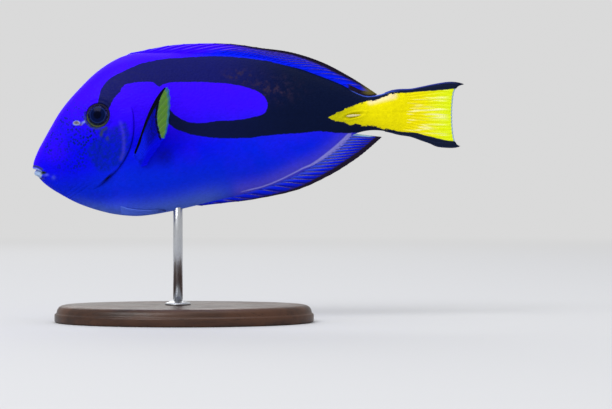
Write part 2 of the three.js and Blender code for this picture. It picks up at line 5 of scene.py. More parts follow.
import bpy
import numpy as np
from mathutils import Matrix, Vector


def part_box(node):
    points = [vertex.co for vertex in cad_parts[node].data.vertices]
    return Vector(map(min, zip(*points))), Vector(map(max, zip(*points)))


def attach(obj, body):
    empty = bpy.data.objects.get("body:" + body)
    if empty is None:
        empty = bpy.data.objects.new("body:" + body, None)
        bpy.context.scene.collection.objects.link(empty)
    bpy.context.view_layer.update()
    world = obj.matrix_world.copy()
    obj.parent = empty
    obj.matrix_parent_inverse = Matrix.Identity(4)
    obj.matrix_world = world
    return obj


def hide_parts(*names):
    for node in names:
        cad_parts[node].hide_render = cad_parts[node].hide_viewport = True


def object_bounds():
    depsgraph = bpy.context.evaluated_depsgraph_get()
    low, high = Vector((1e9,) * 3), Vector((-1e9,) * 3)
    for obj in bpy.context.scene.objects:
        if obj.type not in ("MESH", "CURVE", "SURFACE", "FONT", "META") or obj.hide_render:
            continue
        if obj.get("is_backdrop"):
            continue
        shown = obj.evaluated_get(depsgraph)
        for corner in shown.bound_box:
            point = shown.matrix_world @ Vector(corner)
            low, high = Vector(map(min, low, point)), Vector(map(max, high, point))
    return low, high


bl_info = {
    "name": "Regal Blue Tang",
    "version": (1, 0, 0),
    "blender": (4, 5, 0),
    "location": "3D Viewport > Sidebar > Blue Tang",
    "description": "Builds a life-size regal blue tang on a display stand, in a plain studio",
    "category": "Add Mesh",
}

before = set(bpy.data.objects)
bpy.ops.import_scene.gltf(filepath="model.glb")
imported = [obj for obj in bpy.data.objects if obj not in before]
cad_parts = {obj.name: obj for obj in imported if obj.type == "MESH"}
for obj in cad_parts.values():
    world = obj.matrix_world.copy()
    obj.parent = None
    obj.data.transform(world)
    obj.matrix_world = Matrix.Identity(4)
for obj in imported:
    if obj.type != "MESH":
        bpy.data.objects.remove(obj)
cad_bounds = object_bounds()

# Lengths are in millimetres in the shape's functions, and become metres when a mesh is made.
MM = 0.001
BODY = "root"
SIDES = {"left": -1, "right": 1}

# The body from snout to tail root: place, height of the back, height of the belly,
# half of the thickness, and the height where the body is thickest.
SNOUT_X = -100.0
TAIL_CUT_X = 41.0
CAUDAL_ROOT_X = 66.0
SECTIONS = np.array([
    [-100, 72.8, 72.8, 0, 72.4],
    [-99.3, 75.7, 70.3, 2.3, 72.6],
    [-96, 82.9, 65.3, 4.1, 74],
    [-92.5, 89.2, 62.4, 5.2, 76],
    [-87, 98.3, 59, 6.7, 79.5],
    [-79, 107.6, 54.9, 8.5, 84],
    [-69, 116.8, 51.5, 10, 88],
    [-60, 121.7, 49.7, 11.1, 90],
    [-50, 123.9, 49.2, 11.9, 90],
    [-35, 124.8, 51.6, 12.2, 90],
    [-15, 124.6, 56.4, 11.6, 92],
    [5, 122.4, 61.6, 10.1, 94.5],
    [20, 118.6, 67.2, 8.5, 96],
    [33, 114, 74.4, 6.8, 96.8],
    [43, 110, 82.4, 5.4, 97],
    [48, 107.2, 86.6, 4.7, 96.9],
    [54, 104.9, 88.6, 3.9, 96.8],
    [60, 105.4, 88.9, 3.2, 97.1],
    [66, 107.3, 88, 2.5, 97.6],
])
BACK_POWER, BACK_ROUND = 2.0, 0.62
BELLY_POWER, BELLY_ROUND = 2.2, 0.6

# The gill opening, and how far the gill cover's edge stands over the trunk behind it.
GILL_TOP_X, GILL_BOTTOM_X = -59.4, -81.2
GILL_BOW, GILL_SKEW = 17.1, -9.0
GILL_STEP, GILL_FADE = 0.5, 7.0
COVER_PROUD, COVER_FADE = 0.4, 5.0
# Where the fold of its edge ends: below as a height, and above as a turn round the body.
GILL_END_Z, GILL_END_TURN = 61, 0.34

# The tail swings a little to the right, by this much at its tip.
SWING, TAIL_TIP_X = 3.0, 100

# The eye: its place, its radius, half of its depth, and how far it stands out of the skin.
EYE_X, EYE_Z = -68.9, 95.3
EYE_RADIUS, EYE_DEPTH, EYE_PROUD = 6.15, 2.4, 0.95
# Round it the orbit's rim, the socket and the brow: radius, height or depth, and width.
ORBIT_RADIUS, ORBIT_RIM, ORBIT_WIDTH = 6.0, 0.42, 0.5
SOCKET_RADIUS, SOCKET_DEPTH, SOCKET_WALL = 5.72, 2.2, 0.5
BROW_RADIUS, BROW_HEIGHT, BROW_WIDTH = 8.2, 0.3, 1.3

# The round nostril and the slit behind it. Their relief is a rim round a pit: the middle, the radii, the
# rim's radius, width and height, and the pit's width and depth.
NOSTRIL, NOSTRIL_SLIT = (-79.0, 91.9), (-76.6, 91.5)
NOSTRILS = (
    (NOSTRIL, (1, 1), 0.85, 0.32, 0.4, 0.5, 0.8),
    (NOSTRIL_SLIT, (1.9, 1), 0.75, 0.3, 0.18, 0.36, 0.6),
)
# The mouth's line and the fold behind its corner. Across the line lie the upper lip, the lower lip and the
# cleft between them: height over the line, width, and relief.
MOUTH_FRONT, MOUTH_CORNER = (-100.2, 70.6), (-93.6, 68.8)
MOUTH_FOLD = [MOUTH_CORNER, (-90.6, 67.6), (-88.6, 64.6)]
LIPS = ((1.05, 0.62, 0.5), (-1.3, 0.85, 0.95), (0.0, 0.36, -1.0))

# Faint creases in the throat, each so far in front of the gill opening.
THROAT_CREASES = (4.0, 7.0, 10.0)
# Low rises of the back, on the head and at the dorsal fin's front: x, reach and height.
HEAD_RISE = (-72, 12, 0.25)
FIN_RISE = (-54, 10, 1.15)
# The flank's midline: its height at an x, and its slope.
MIDLINE_X, MIDLINE_Z, MIDLINE_SLOPE = -40, 92, 0.045

# Where the paired fins join the body, and the groove of the folded spine on each side of the tail stem.
PECTORAL_ROOT = [(-52.6, 76.4), (-49.4, 71.8)]
PELVIC_ROOT_X = (-64.0, -58.0)
PELVIC_START_X, PELVIC_TIP_X = -63.0, -38.4
GROOVE_X, GROOVE_Z, GROOVE_TILT = 48.3, 95.5, 0.24
GROOVE_LENGTH, GROOVE_WIDTH, GROOVE_DEPTH = 4.3, 1.15, 0.75

# The camera stands square to the fish's left side. The large markings are drawn as seen from it.
CAMERA_X, CAMERA_Z, CAMERA_DISTANCE = 26.36, 54.48, 788.0


def smooth(value):
    """A soft step from 0 to 1."""
    t = np.clip(value, 0.0, 1.0)
    return t * t * (3.0 - 2.0 * t)


def lerp(a, b, t):
    """From a to b as t goes from 0 to 1."""
    return a + (b - a) * t


def bell(value, width):
    """1 at 0, falling softly to nothing over a few widths."""
    return np.exp(-(np.asarray(value) / width) ** 2)


def through(keys, values):
    """A smooth curve through values, each given at its key."""
    keys, values = np.asarray(keys, float), np.asarray(values, float)
    before = np.maximum(np.arange(len(keys)) - 1, 0)
    after = np.minimum(np.arange(len(keys)) + 1, len(keys) - 1)
    slopes = (values[after] - values[before]) / (keys[after] - keys[before])

    def curve(key):
        k = np.clip(key, keys[0], keys[-1])
        i = np.clip(np.searchsorted(keys, k, side="right") - 1, 0, len(keys) - 2)
        span = keys[i + 1] - keys[i]
        t = (k - keys[i]) / span
        from_start = values[i] * (1 + 2 * t) + slopes[i] * span * t
        from_end = values[i + 1] * (3 - 2 * t) - slopes[i + 1] * span * (1 - t)
        return from_start * (1 - t) ** 2 + from_end * t**2

    return curve


def section_curve(column):
    """A column of SECTIONS as a function of x, round at the blunt snout."""
    curve = through(np.sqrt(SECTIONS[:, 0] - SNOUT_X), SECTIONS[:, column])
    return lambda x: curve(np.sqrt(np.maximum(np.asarray(x, float) - SNOUT_X, 0)))


back, belly, half_thickness, widest = (section_curve(column) for column in (1, 2, 3, 4))


def rib_point(rib, turn):
    """(x, z) on a rib, which runs from belly (turn -1) to back (turn 1) and bows to the rear."""
    top, bottom, bow, skew = rib
    share = (turn + 1) / 2
    x = lerp(bottom, top, share) + (1 - turn**2) * (bow + skew * turn)
    return x, lerp(belly(bottom), back(top), share)


GILL_RIB = (GILL_TOP_X, GILL_BOTTOM_X, GILL_BOW, GILL_SKEW)


def gill_turn(z):
    """How far up the gill opening a height is, from -1 to 1."""
    low, high = belly(GILL_BOTTOM_X), back(GILL_TOP_X)
    return np.clip((z - low) / (high - low) * 2 - 1, -1, 1)


def gill_x(z):
    """Where the gill opening is at a height."""
    return rib_point(GILL_RIB, gill_turn(z))[0]


def thickness_at(x, z):
    """Half of the body's thickness at a place on its side."""
    middle = widest(x)
    above = z > middle
    reach = np.where(above, back(x) - middle, middle - belly(x))
    t = np.clip(np.abs(z - middle) / np.maximum(reach, 1e-6), 0, 1)
    power = np.where(above, BACK_POWER, BELLY_POWER)
    round_ = np.where(above, BACK_ROUND, BELLY_ROUND)
    return half_thickness(x) * (1 - t**power) ** round_


def trunk_thickness_at(x, z):
    """The same behind the gill opening, where the trunk lies lower than the gill cover's edge."""
    full = thickness_at(x, z)
    step = GILL_STEP * np.exp(-np.maximum(x - gill_x(z), 0) / GILL_FADE)
    return full - np.minimum(step, full / 3)


# How far apart the places are from which the skin's slope is taken.
SLOPE_STEP = 0.2


def over_skin(x, z, side, height, surface=thickness_at):
    """Points at a height over one side's skin, and the skin's normals there."""
    slope_x = (surface(x + SLOPE_STEP, z) - surface(x - SLOPE_STEP, z)) / (2 * SLOPE_STEP)
    slope_z = (surface(x, z + SLOPE_STEP) - surface(x, z - SLOPE_STEP)) / (2 * SLOPE_STEP)
    normal = np.stack([-slope_x, np.full_like(slope_x, side), -slope_z], -1)
    normal /= np.linalg.norm(normal, axis=-1, keepdims=True)
    point = np.stack([x, side * surface(x, z), z], -1)
    return point + normal * np.asarray(height)[..., None], normal


def eye_place(side, height):
    """The middle of an eye at a height over the skin, and the skin's normal there."""
    return over_skin(np.array(EYE_X), np.array(EYE_Z), side, height)


def eye_distance(surface):
    """How far points of the left side lie from the place of its eye."""
    return np.linalg.norm(surface - eye_place(SIDES["left"], 0.0)[0], axis=-1)


def swung(points):
    """Swings the rear of the fish to its right."""
    points = np.array(points, float)
    share = np.maximum(points[..., 0] / TAIL_TIP_X, 0)
    points[..., 1] += SWING * share**2
    return points


def as_seen(points):
    """(x, z) of points as the camera sees them against the fish's middle plane."""
    scale = CAMERA_DISTANCE / (CAMERA_DISTANCE - np.abs(points[..., 1]))
    x = CAMERA_X + (points[..., 0] - CAMERA_X) * scale
    z = CAMERA_Z + (points[..., 2] - CAMERA_Z) * scale
    return x, z


# Markings, as outlines drawn on the side of the fish.

# The black mark: from the eye along the back to the tail's two lobes, forward again as the lower arm,
# and back round the blue oval that it encloses.
BLACK_MARK = [
    (-70.1, 100), (-69.2, 106.2), (-67.8, 109), (-65.5, 112), (-62.2, 114.3), (-57.6, 116.6),
    (-52.9, 118.7), (-48.3, 120.3), (-39, 122), (-29.7, 122.6), (-15.8, 123.3), (-1.9, 122.4),
    (9.7, 120.8), (18.9, 118.5), (26, 117), (40, 114), (60, 118), (106, 118), (106, 72), (70, 76),
    (58, 87), (49.5, 87.7), (42.1, 87.6), (32.8, 88.4), (23.6, 87.6), (14.3, 87), (5, 86), (-1, 85.3),
    (-14.9, 85.3), (-25.1, 86.6), (-28.8, 87.5), (-33.9, 89.5), (-37.6, 92.3), (-40, 95.6),
    (-41.1, 98.6), (-39.8, 101), (-37.7, 99.6), (-34.8, 96.4), (-30.7, 93.7), (-27, 92.5), (-21.2, 92.3),
    (-14.9, 93.2), (-5.2, 93.7), (1.3, 94.9), (6.8, 96.5), (8.6, 100.3), (7.2, 104.3), (3.4, 107.1),
    (-3.3, 109.3), (-10.3, 110.5), (-22.3, 111.2), (-34, 111.2), (-38, 110.8), (-40.2, 110), (-41.6, 109.1),
    (-42.9, 110), (-44.9, 111.2), (-50.6, 111.3), (-54.3, 110.8), (-57.1, 110.1), (-59, 108.5),
    (-59.9, 106.6), (-61.7, 104.8), (-63.6, 102), (-65, 98.8), (-67.5, 96),
]
# The yellow wedge that opens from the tail stem over the tail fin.
YELLOW_WEDGE = [
    (36.6, 94.8), (39, 96.3), (42.1, 97.4), (46.8, 99.7), (51.4, 101.2), (54.2, 102.3), (59.3, 102.9),
    (62.1, 103.9), (64.4, 105.3), (67.6, 106), (72.3, 106.3), (79.2, 106.9), (88.5, 107.6), (96.8, 108.4),
    (106, 108.8), (106, 83), (95.5, 83.9), (90.8, 84.5), (86.2, 85.6), (81.5, 86.7), (76.9, 87.9),
    (72.3, 88.1), (67.6, 88.8), (63, 89.6), (59.7, 90.4), (56, 90.9), (52.3, 91.3), (49.5, 91.8),
    (46.8, 91.6), (44, 92.6), (41.2, 93), (38.9, 93.7),
]
# The dark, mottled part of the cheek over the gill cover.
DARK_CHEEK = [
    (-69.9, 89), (-67, 90), (-62.2, 90.6), (-57.9, 92.8), (-55.9, 90), (-55, 84.4), (-55.4, 78.8),
    (-58.2, 74.2), (-63.1, 70.7), (-68.2, 69.3), (-70.6, 70.6), (-72.9, 73.7), (-75, 77.4),
    (-75, 80.7), (-72.4, 83.5), (-69.9, 85.3),
]
# The pale violet line inside its rear edge, and the groove along the gill cover's front.
VIOLET_LINE = [(-59.6, 92.5), (-58.4, 88), (-58, 83), (-58.3, 78.5), (-59.4, 75.5)]
COVER_FRONT = [(-62.6, 92), (-65.4, 86), (-68.2, 79), (-69.6, 72.4), (-68.4, 65)]
# The pale stripe along the root of the anal fin.
ANAL_STRIPE = [
    (-3.9, 60.3), (1.6, 61.6), (5.8, 62.6), (10.5, 64.3), (15.8, 66.6), (21.3, 69.4), (25.1, 71.4),
    (29, 72.9), (32.9, 75.3), (36.7, 78), (40.6, 81), (43.7, 83.8), (46.4, 86.5),
]
# The start of the painted cream highlight inside the yellow wedge's upper edge.
CREAM_HIGHLIGHT_LINE = [(56.5, 102.4), (61, 103.6)]


def closed_curve(points, steps=4):
    """A smooth closed line through a few points."""
    p = np.array(points, float)
    a, b, c, d = np.roll(p, 1, 0), p, np.roll(p, -1, 0), np.roll(p, -2, 0)
    t = (np.arange(steps) / steps)[None, :, None]
    a, b, c, d = (q[:, None] for q in (a, b, c, d))
    curve = 2 * b + (c - a) * t + (2 * a - 5 * b + 4 * c - d) * t**2 + (3 * b - a - 3 * c + d) * t**3
    return curve.reshape(-1, 2) / 2


def line_distance(x, z, line, closed=False):
    """How far places are from a line of points."""
    line = np.array(line, float)
    ends = np.roll(line, -1, 0) if closed else line[1:]
    starts = line if closed else line[:-1]
    best = np.full(np.shape(x), np.inf)
    for (ax, az), (bx, bz) in zip(starts, ends):
        along_x, along_z = bx - ax, bz - az
        t = np.clip(((x - ax) * along_x + (z - az) * along_z) / (along_x**2 + along_z**2), 0, 1)
        best = np.minimum(best, (x - ax - t * along_x) ** 2 + (z - az - t * along_z) ** 2)
    return np.sqrt(best)


def from_spot(x, z, middle, radii=(1, 1)):
    """How far places are from a spot's middle, in its radii."""
    return np.hypot((x - middle[0]) / radii[0], (z - middle[1]) / radii[1])


def outline_depth(x, z, outline):
    """How far places lie inside an outline, below 0 outside it."""
    curve = closed_curve(outline)
    inside = np.zeros(np.shape(x), bool)
    for (ax, az), (bx, bz) in zip(curve, np.roll(curve, -1, 0)):
        if az != bz:
            crosses = (az > z) != (bz > z)
            inside ^= crosses & (x < ax + (z - az) * (bx - ax) / (bz - az))
    return np.where(inside, 1, -1) * line_distance(x, z, curve, closed=True)


def stripe_value(x, z):
    """The pale stripe, which widens to the rear."""
    half = lerp(0.25, 1.05, smooth((x - 22) / 20)) * smooth((x + 8) / 10)
    return smooth((half - line_distance(x, z, ANAL_STRIPE)) / 0.6 + 0.5)


def cream_highlight_value(x, z, end):
    """The painted cream highlight inside the yellow wedge's upper edge, as far as its rear end."""
    streak = line_distance(x, z, [*CREAM_HIGHLIGHT_LINE, end])
    return 0.85 * smooth((2.6 - streak) / 2.2)


# Making meshes.


def new_piece(name, points, faces, material, values=None, maps=None):
    """A smooth mesh object from points in millimetres, with its named values and its baking map."""
    mesh = bpy.data.meshes.new(name)
    mesh.from_pydata((np.asarray(points) * MM).tolist(), [], faces)
    mesh.polygons.foreach_set("use_smooth", [True] * len(mesh.polygons))
    for key, value in (values or {}).items():
        layer = mesh.attributes.new(key, "FLOAT", "POINT")
        layer.data.foreach_set("value", np.asarray(value, np.float32).ravel())
    if maps is not None:
        layer = mesh.uv_layers.new(name="OFBake")
        layer.data.foreach_set("uv", np.asarray(maps, np.float32).ravel())
    mesh.materials.append(material)
    mesh.validate()
    piece = bpy.data.objects.new(name, mesh)
    bpy.context.scene.collection.objects.link(piece)
    return piece


def faced_out(points, faces):
    """The faces, turned if the closed shape is inside out."""
    points = np.asarray(points)
    volume = 0.0
    for size in (3, 4):
        group = np.array([face for face in faces if len(face) == size], int).reshape(-1, size)
        for i in range(1, size - 1):
            a, b, c = (points[group[:, corner]] for corner in (0, i, i + 1))
            volume += np.einsum("ij,ij->i", a, np.cross(b, c)).sum()
    return faces if volume > 0 else [face[::-1] for face in faces]


def tube_faces(rows, columns):
    """Faces of a grid whose columns close on themselves."""
    row, column = np.meshgrid(np.arange(rows - 1), np.arange(columns), indexing="ij")
    here, next_ = row * columns + column, row * columns + (column + 1) % columns
    return np.stack([here, next_, next_ + columns, here + columns], -1).reshape(-1, 4)


def lathed(rings):
    """Points and faces of a closed shape from rings of points, with a point at the middle of each end."""
    rings = np.asarray(rings, float)
    rows, columns = rings.shape[:2]
    points = np.concatenate([rings.reshape(-1, 3), rings[[0, -1]].mean(1)])
    faces = tube_faces(rows, columns).tolist()
    first, last = rows * columns, rows * columns + 1
    for column in range(columns):
        after = (column + 1) % columns
        faces.append([after, column, first])
        faces.append([(rows - 1) * columns + column, (rows - 1) * columns + after, last])
    return points, faced_out(points, faces)


def plain_mesh(piece, name):
    """The piece with its modifiers' result as its mesh, and no modifiers."""
    bpy.context.view_layer.update()
    evaluated = piece.evaluated_get(bpy.context.evaluated_depsgraph_get())
    mesh = bpy.data.meshes.new_from_object(evaluated)
    piece.modifiers.clear()
    old = piece.data
    piece.data = mesh
    mesh.name = name
    bpy.data.meshes.remove(old)
    return piece


def settle(piece, slot, *nodes):
    """Puts a piece on its body and hides the nodes that it stands in for. The slot, its finish, is not used.
    """
    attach(piece, BODY)
    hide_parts(*nodes)


def node_box(node):
    """The lowest and the highest corner of a node of the frame, in millimetres."""
    return [np.array(corner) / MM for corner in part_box(node)]


# Shader nodes.


def rgb(red, green, blue):
    """A screen colour, 0 to 255 a channel, as Blender's linear values."""
    channels = (c / 255 for c in (red, green, blue))
    return tuple(c / 12.92 if c <= 0.04045 else ((c + 0.055) / 1.055) ** 2.4 for c in channels)


# How strongly skin and fins shine.
WET_SPECULAR = 0.04

# Colours that aren't settings. First the dorsal and the anal fin.
ANAL_ROOT, ANAL_RAY = rgb(70, 94, 236), rgb(92, 76, 196)
# The ray groove colour is painted shade beside each ray.
VIOLET_RAY, RAY_TIP, RAY_SHADE = rgb(104, 62, 255), rgb(78, 52, 72), rgb(6, 8, 70)
ANAL_END, DORSAL_END = rgb(150, 186, 196), rgb(104, 96, 40)
# The tail fin, and the yellow wedge in front of it.
# The cream colour is a painted highlight inside the yellow wedge's upper edge.
CREAM_HIGHLIGHT = rgb(246, 226, 170)
# The tail streak colour is painted highlight, in streaks along the rays.
TAIL_STREAK_HIGHLIGHT, TAIL_RAY, TAIL_MARGIN = rgb(255, 250, 190), rgb(250, 244, 120), rgb(150, 190, 215)
# The tail rim colour is a painted highlight along the upper edge of the tail fin.
TAIL_LOBE, TAIL_LOBE_RAY, TAIL_RIM_HIGHLIGHT = rgb(18, 26, 50), rgb(40, 48, 84), rgb(58, 68, 160)
# The pectoral fins.
PECTORAL_ROOT_BLUE, PECTORAL_BLUE = rgb(10, 36, 244), rgb(0, 3, 228)
PECTORAL_STREAK, PECTORAL_RAY, PECTORAL_LEAD = rgb(2, 6, 70), rgb(2, 6, 30), rgb(2, 4, 24)
LEAF_STREAK, LEAF_RAY, LEAF_MARGIN = rgb(84, 128, 60), rgb(130, 162, 84), rgb(52, 112, 150)
# The eyes.
PUPIL, PUPIL_EDGE, PUPIL_RING = rgb(0, 3, 26), rgb(2, 13, 56), rgb(20, 38, 96)
IRIS, IRIS_SPECK, IRIS_SPECK_LOW = rgb(6, 10, 38), rgb(52, 50, 120), rgb(34, 48, 44)
EYE_RING, EYE_RING_SPECK, EYE_EDGE = rgb(40, 38, 56), rgb(58, 66, 70), rgb(6, 8, 36)
# The spines and the stand.
BONE, BONE_DARK = rgb(232, 222, 170), rgb(200, 184, 110)
WOOD_PORE, STEEL, STEEL_LIGHT = rgb(26, 16, 11), rgb(178, 181, 186), rgb(200, 202, 205)


class Nodes:
    """Adds and joins the nodes of one tree."""

    def __init__(self, tree):
        self.tree = tree

    def add(self, kind, inputs=None, output=0, **settings):
        """An output of a new node with its inputs joined, or the node itself if output is None."""
        node = self.tree.nodes.new(kind)
        for key, value in settings.items():
            setattr(node, key, value)
        for key, value in (inputs or {}).items():
            self.join(value, node.inputs[key])
        return node if output is None else node.outputs[output]

    def join(self, value, socket):
        """Links an output to a socket, or sets a plain value on it."""
        if isinstance(value, bpy.types.NodeSocket):
            self.tree.links.new(value, socket)
        elif socket.type == "RGBA":
            socket.default_value = (*value[:3], 1.0)
        else:
            socket.default_value = value

    def math(self, operation, a, b=0.0):
        return self.add("ShaderNodeMath", {0: a, 1: b}, operation=operation)

    def times(self, a, b):
        return self.math("MULTIPLY", a, b)

    def plus(self, a, b):
        return self.math("ADD", a, b)

    def mix(self, share, a, b):
        """The colour a, or b where share is 1."""
        return self.add("ShaderNodeMix", {0: share, 6: a, 7: b}, output=2, data_type="RGBA")

    def ramp(self, value, low, high, to_low=0.0, to_high=1.0):
        """value's way from low to high as a soft step."""
        ends = {"Value": value, 1: low, 2: high, 3: to_low, 4: to_high}
        return self.add("ShaderNodeMapRange", ends, interpolation_type="SMOOTHSTEP")

    def value(self, name):
        """A value that the piece carries at its points."""
        return self.add("ShaderNodeAttribute", output="Fac", attribute_name=name)

    def place(self):
        """Where a point is, in metres."""
        return self.add("ShaderNodeTexCoord", output="Object")

    def noise(self, size, detail=3.0, rough=0.55, where=None):
        """Soft noise with features of a size in millimetres."""
        place = where or self.place()
        inputs = {"Vector": place, "Scale": 1 / (size * MM), "Detail": detail, "Roughness": rough}
        return self.add("ShaderNodeTexNoise", inputs)

    def wander(self, size, reach, **kind):
        """Soft noise that swings round 0."""
        return self.times(self.math("SUBTRACT", self.noise(size, **kind), 0.5), reach)

    def flat_cells(self, size):
        """Cells of a size in millimetres on the fish's side, alike through its thickness."""
        place = self.add("ShaderNodeSeparateXYZ", {"Vector": self.place()}, output=None).outputs
        side = self.add("ShaderNodeCombineXYZ", {"X": place["X"], "Y": place["Z"]})
        inputs = {"Vector": side, "Scale": 1 / (size * MM), "Randomness": 0.95}
        return self.add("ShaderNodeTexVoronoi", inputs, voronoi_dimensions="2D")

    def group(self, tree, inputs, output=0):
        """The same as add, for a node group."""
        return self.add("ShaderNodeGroup", inputs, output, node_tree=tree)


def new_group(name, inputs, outputs):
    """An empty shader group with named sockets. Returns its tree, input sockets and output node."""
    tree = bpy.data.node_groups.new(name, "ShaderNodeTree")
    kinds = {"colour": "NodeSocketColor", "number": "NodeSocketFloat"}
    for key, kind in inputs.items():
        tree.interface.new_socket(key, in_out="INPUT", socket_type=kinds[kind])
    for key, kind in outputs.items():
        tree.interface.new_socket(key, in_out="OUTPUT", socket_type=kinds[kind])
    return tree, tree.nodes.new("NodeGroupInput").outputs, tree.nodes.new("NodeGroupOutput").inputs


def new_material(name, colour, roughness, height=None, bump=0.1, **plain):
    """A Principled material from a colour, a roughness and a height in millimetres."""
    material = bpy.data.materials.new(name)
    material.use_nodes = True
    tree = material.node_tree
    shader = tree.nodes["Principled BSDF"]
    nodes = Nodes(tree)
    nodes.join(colour(nodes) if callable(colour) else colour, shader.inputs["Base Color"])
    nodes.join(roughness(nodes) if callable(roughness) else roughness, shader.inputs["Roughness"])
    if height is not None:
        inputs = {"Height": height(nodes), "Distance": bump * MM, "Strength": 1.0}
        nodes.join(nodes.add("ShaderNodeBump", inputs), shader.inputs["Normal"])
    for key, value in plain.items():
        nodes.join(value, shader.inputs[key.replace("_", " ")])
    return material


def scale_group():
    """Fine scales: domes, a little stretched, and a value that differs from scale to scale."""
    tree, given, made = new_group(
        "Fine Scales", {"Size": "number"}, {"Height": "number", "Tint": "number"})
    nodes = Nodes(tree)
    stretch = nodes.add("ShaderNodeMapping", {"Vector": nodes.place(), "Scale": (0.8, 1.0, 1.15)})
    density = nodes.math("DIVIDE", 1 / MM, given["Size"])
    inputs = {"Vector": stretch, "Scale": density, "Randomness": 0.75}
    domes = nodes.add("ShaderNodeTexVoronoi", inputs, feature="SMOOTH_F1")
    tint = nodes.add("ShaderNodeTexVoronoi", inputs, output="Color")
    nodes.join(nodes.ramp(domes, 0.75, 0.05), made["Height"])
    nodes.join(nodes.add("ShaderNodeSeparateColor", {"Color": tint}), made["Tint"])
    return tree


def ragged_group():
    """A marking's mask from how deep a point lies in it, with an edge that follows the scales."""
    tree, given, made = new_group(
        "Ragged Edge", {"Depth": "number", "Tint": "number", "Ragged": "number", "Soft": "number"},
        {"Mask": "number"})
    nodes = Nodes(tree)
    by_scale = nodes.math("SUBTRACT", given["Tint"], 0.5)
    shift = nodes.times(nodes.plus(by_scale, nodes.wander(3.0, 1.6, detail=2.0)), given["Ragged"])
    depth = nodes.plus(given["Depth"], shift)
    low = nodes.times(given["Soft"], -1.0)
    nodes.join(nodes.ramp(depth, low, given["Soft"]), made["Mask"])
    return tree


def skin_group(colours, numbers, scales, ragged):
    """The skin's look from its named colours and numbers, and from the values that the skin carries."""
    tree, given, made = new_group(
        "Blue Tang Skin", {**dict.fromkeys(colours, "colour"), **dict.fromkeys(numbers, "number")},
        {"Colour": "colour", "Height": "number", "Gloss": "number"})
    nodes = Nodes(tree)
    scale = nodes.group(scales, {"Size": given["Scale Size"]}, None).outputs
    tint = scale["Tint"]
    fine = nodes.noise(1.6, 4.0, 0.7)

    colour = nodes.mix(nodes.value("fore"), given["Rear Blue"], given["Fore Blue"])
    colour = nodes.mix(nodes.value("low"), colour, given["Low Blue"])
    violet = nodes.plus(nodes.value("violet"), nodes.wander(14.0, 0.5))
    colour = nodes.mix(violet, colour, given["Violet"])
    # The crest colour is a painted highlight along the top edge of the head.
    for name in ("crest", "belly", "haze", "stripe"):
        colour = nodes.mix(nodes.value(name), colour, given[name.title()])

    mottle = nodes.ramp(nodes.noise(1.5, 4.0, 0.7), 0.34, 0.64, 0.3, 0.85)
    colour = nodes.mix(nodes.times(nodes.value("cheek"), mottle), colour, given["Cheek"])
    colour = nodes.mix(nodes.times(nodes.value("violet_line"), 0.28), colour, given["Haze"])
    patches = nodes.ramp(nodes.noise(5.0, 2.0), 0.4, 0.6, 0.3, 1.0)
    dots = nodes.times(nodes.ramp(nodes.flat_cells(1.5), 0.44, 0.22), patches)
    colour = nodes.mix(nodes.times(nodes.value("freckles"), dots), colour, given["Freckle"])
    # Painted shadow of the pectoral fin on the body, in the shade colour and broken up by fine noise.
    smudge = nodes.times(nodes.value("smudge"), nodes.ramp(fine, 0.3, 0.7, 0.5, 1.0))
    colour = nodes.mix(smudge, colour, given["Shade"])

    edge = {"Tint": tint, "Soft": 0.25}
    smooth_edge = nodes.times(given["Ragged"], 0.4)
    black = nodes.group(ragged, {"Depth": nodes.value("black"), "Ragged": smooth_edge, **edge})
    brown = nodes.times(nodes.value("brown"), nodes.ramp(nodes.noise(3.0, 5.0, 0.7), 0.45, 0.7))
    dark = nodes.mix(nodes.value("fore_black"), given["Black"], given["Fore Black"])
    colour = nodes.mix(black, colour, nodes.mix(brown, dark, given["Brown"]))
    # The rim is a painted highlight along the top edge of the tail stem.
    colour = nodes.mix(nodes.value("rim"), colour, given["Rim"])
    yellow = nodes.group(ragged, {"Depth": nodes.value("yellow"), "Ragged": given["Ragged"], **edge})
    bright = nodes.mix(nodes.value("olive"), given["Yellow"], given["Olive Yellow"])
    # The cream is a painted highlight inside the wedge's upper edge.
    bright = nodes.mix(nodes.value("cream"), bright, given["Cream"])
    colour = nodes.mix(yellow, colour, bright)

    colour = nodes.mix(nodes.value("pale"), colour, given["Pale"])
    flecks = nodes.times(nodes.value("tan"), nodes.ramp(fine, 0.34, 0.56, 0.45, 1.0))
    colour = nodes.mix(flecks, colour, given["Tan"])
    # Olive marks, and painted shade in the mouth's corner and under the lower lip.
    colour = nodes.mix(nodes.value("olive_marks"), colour, given["Olive Mark"])
    colour = nodes.mix(nodes.value("gap"), colour, given["Shade"])
    vary = {"Value": nodes.ramp(tint, 0, 1, 0.95, 1.04), "Color": colour}
    nodes.join(nodes.add("ShaderNodeHueSaturation", vary), made["Colour"])
    height = nodes.plus(scale["Height"], nodes.times(fine, 0.5))
    nodes.join(nodes.times(height, nodes.ramp(yellow, 0, 1, 1.0, 0.4)), made["Height"])
    nodes.join(nodes.ramp(tint, 0, 1, 0.38, 0.52), made["Gloss"])
    return tree


